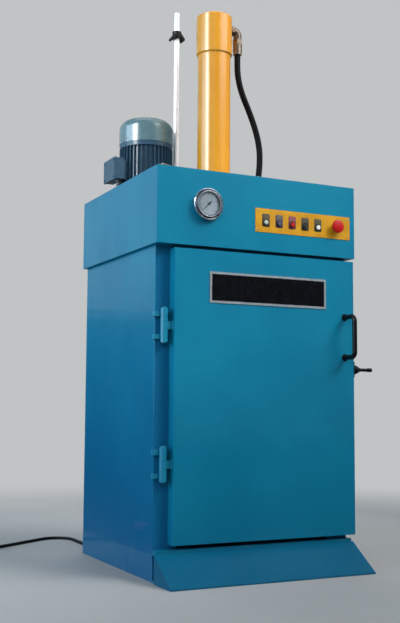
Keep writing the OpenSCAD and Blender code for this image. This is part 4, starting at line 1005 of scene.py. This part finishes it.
def melt(f, s):
    # far from the object the camera sees the floor run into the backdrop, with no horizon
    far = f.fade((f.part(0) * f.part(0) + f.part(1) * f.part(1)) ** 0.5, *s["melt"])
    seen = f.node("LightPath", out="Is Camera Ray")
    glow = f.node("Emission", {}, {"Color": s["seen"]})
    mixed = f.node("MixShader", {}, {0: far * seen, 1: Wire(f.tree, f.shader.outputs[0]), 2: glow})
    plug(f.tree, mixed, f.tree.nodes["Material Output"].inputs["Surface"])


lightSet = {
    "keyLight": {"at": (2.5, -2.9, 4.6), "aim": (0.1, -0.4, 1.78), "size": (4.0, 2.4), "power": 42,
                 "colour": (1.0, 0.98, 0.94), "spread": 0.85, "gloss": False},
    "softLight": {"at": (2.4, -2.9, 4.6), "aim": (0, -0.4, 1.75), "size": (4.0, 2.4), "power": 85,
                  "colour": (1.0, 0.98, 0.94)},
    "fillLight": {"at": (-2.6, -4.2, 3.6), "aim": (0, 0, 1.6), "size": (3.0, 3.0), "power": 24,
                  "colour": (0.92, 0.97, 1.0), "spread": 1.4, "gloss": False},
    "stripLight": {"at": (-4.6, -1.3, 3.75), "aim": (0, 0, 3.2), "size": (1.2, 2.4), "power": 200,
                   "colour": (1.0, 0.97, 0.92), "diffuse": False},
    "sideLight": {"at": (-5.0, 0.2, 2.5), "aim": (0, 0.2, 2.5), "size": (5.0, 3.8), "power": 290,
                  "colour": (0.62, 0.82, 1.0)},
    "windowLight": {"at": (-3.6, 4.2, 3.5), "aim": (-3.6, 0, 3.5), "size": (6.0, 4.0), "power": 28,
                    "colour": (0.75, 1.0, 1.0)},
    "topLight": {"at": (0.5, 0.5, 6.0), "aim": (0, 0, 0), "size": (4.0, 4.0), "power": 35,
                 "colour": (1, 1, 1)},
    "backLight": {"at": (1.8, 4.6, 3.8), "aim": (0, 0, 1.2), "size": (4.0, 3.0), "power": 170,
                  "colour": (0.95, 0.98, 1.0), "gloss": False},
}
openSpread = 3.14  # of a light that isn't narrowed, in radians


def addLight(name, s):
    # a light shines on everything and shows in gloss, unless its set says otherwise
    data = bpy.data.lights.new(name, "AREA")
    data.shape = "RECTANGLE"
    data.size, data.size_y = s["size"]
    data.energy = s["power"]
    data.color = s["colour"]
    light = bpy.data.objects.new(name, data)
    light.location = s["at"]
    light.rotation_euler = (Vector(s["aim"]) - Vector(s["at"])).to_track_quat("-Z", "Y").to_euler()
    light.visible_camera = False
    light.visible_glossy = s.get("gloss", True)
    light.visible_diffuse = s.get("diffuse", True)
    data.spread = s.get("spread", openSpread)
    bpy.context.collection.objects.link(light)


def addStudio(s):
    world = bpy.data.worlds.new("studio")
    bpy.context.scene.world = world
    world.use_nodes = True
    sky = NodeTree(world.node_tree)
    lit = sky.tree.nodes["Background"]
    plug(sky.tree, s["world"], lit.inputs["Color"])
    plug(sky.tree, s["worldPower"], lit.inputs["Strength"])
    # the camera sees an even pale backdrop, and the object is lit by a dimmer one
    seen = sky.node("Background", {}, {"Color": s["seen"]})
    fromCamera = sky.node("LightPath", out="Is Camera Ray")
    mixed = sky.node("MixShader", {}, {0: fromCamera, 1: Wire(sky.tree, lit.outputs[0]), 2: seen})
    plug(sky.tree, mixed, sky.tree.nodes["World Output"].inputs["Surface"])
    corners = [(x * s["reach"], y * s["reach"], 0) for x, y in ((-1, -1), (1, -1), (1, 1), (-1, 1))]
    melt(stagePiece("floor", corners, s["floor"])[0], s)
    # dark sheets on the floor and behind the left side, seen only in the gloss of the paint
    for name, corners in s["panels"].items():
        panel = stagePiece(name, corners, s["dark"])[1]
        panel.visible_camera = panel.visible_diffuse = panel.visible_shadow = False
    for name, one in lightSet.items():
        addLight(name, one)


addStudio(studioSet)
bpy.context.scene.view_settings.view_transform = "Standard"

print("scene done")
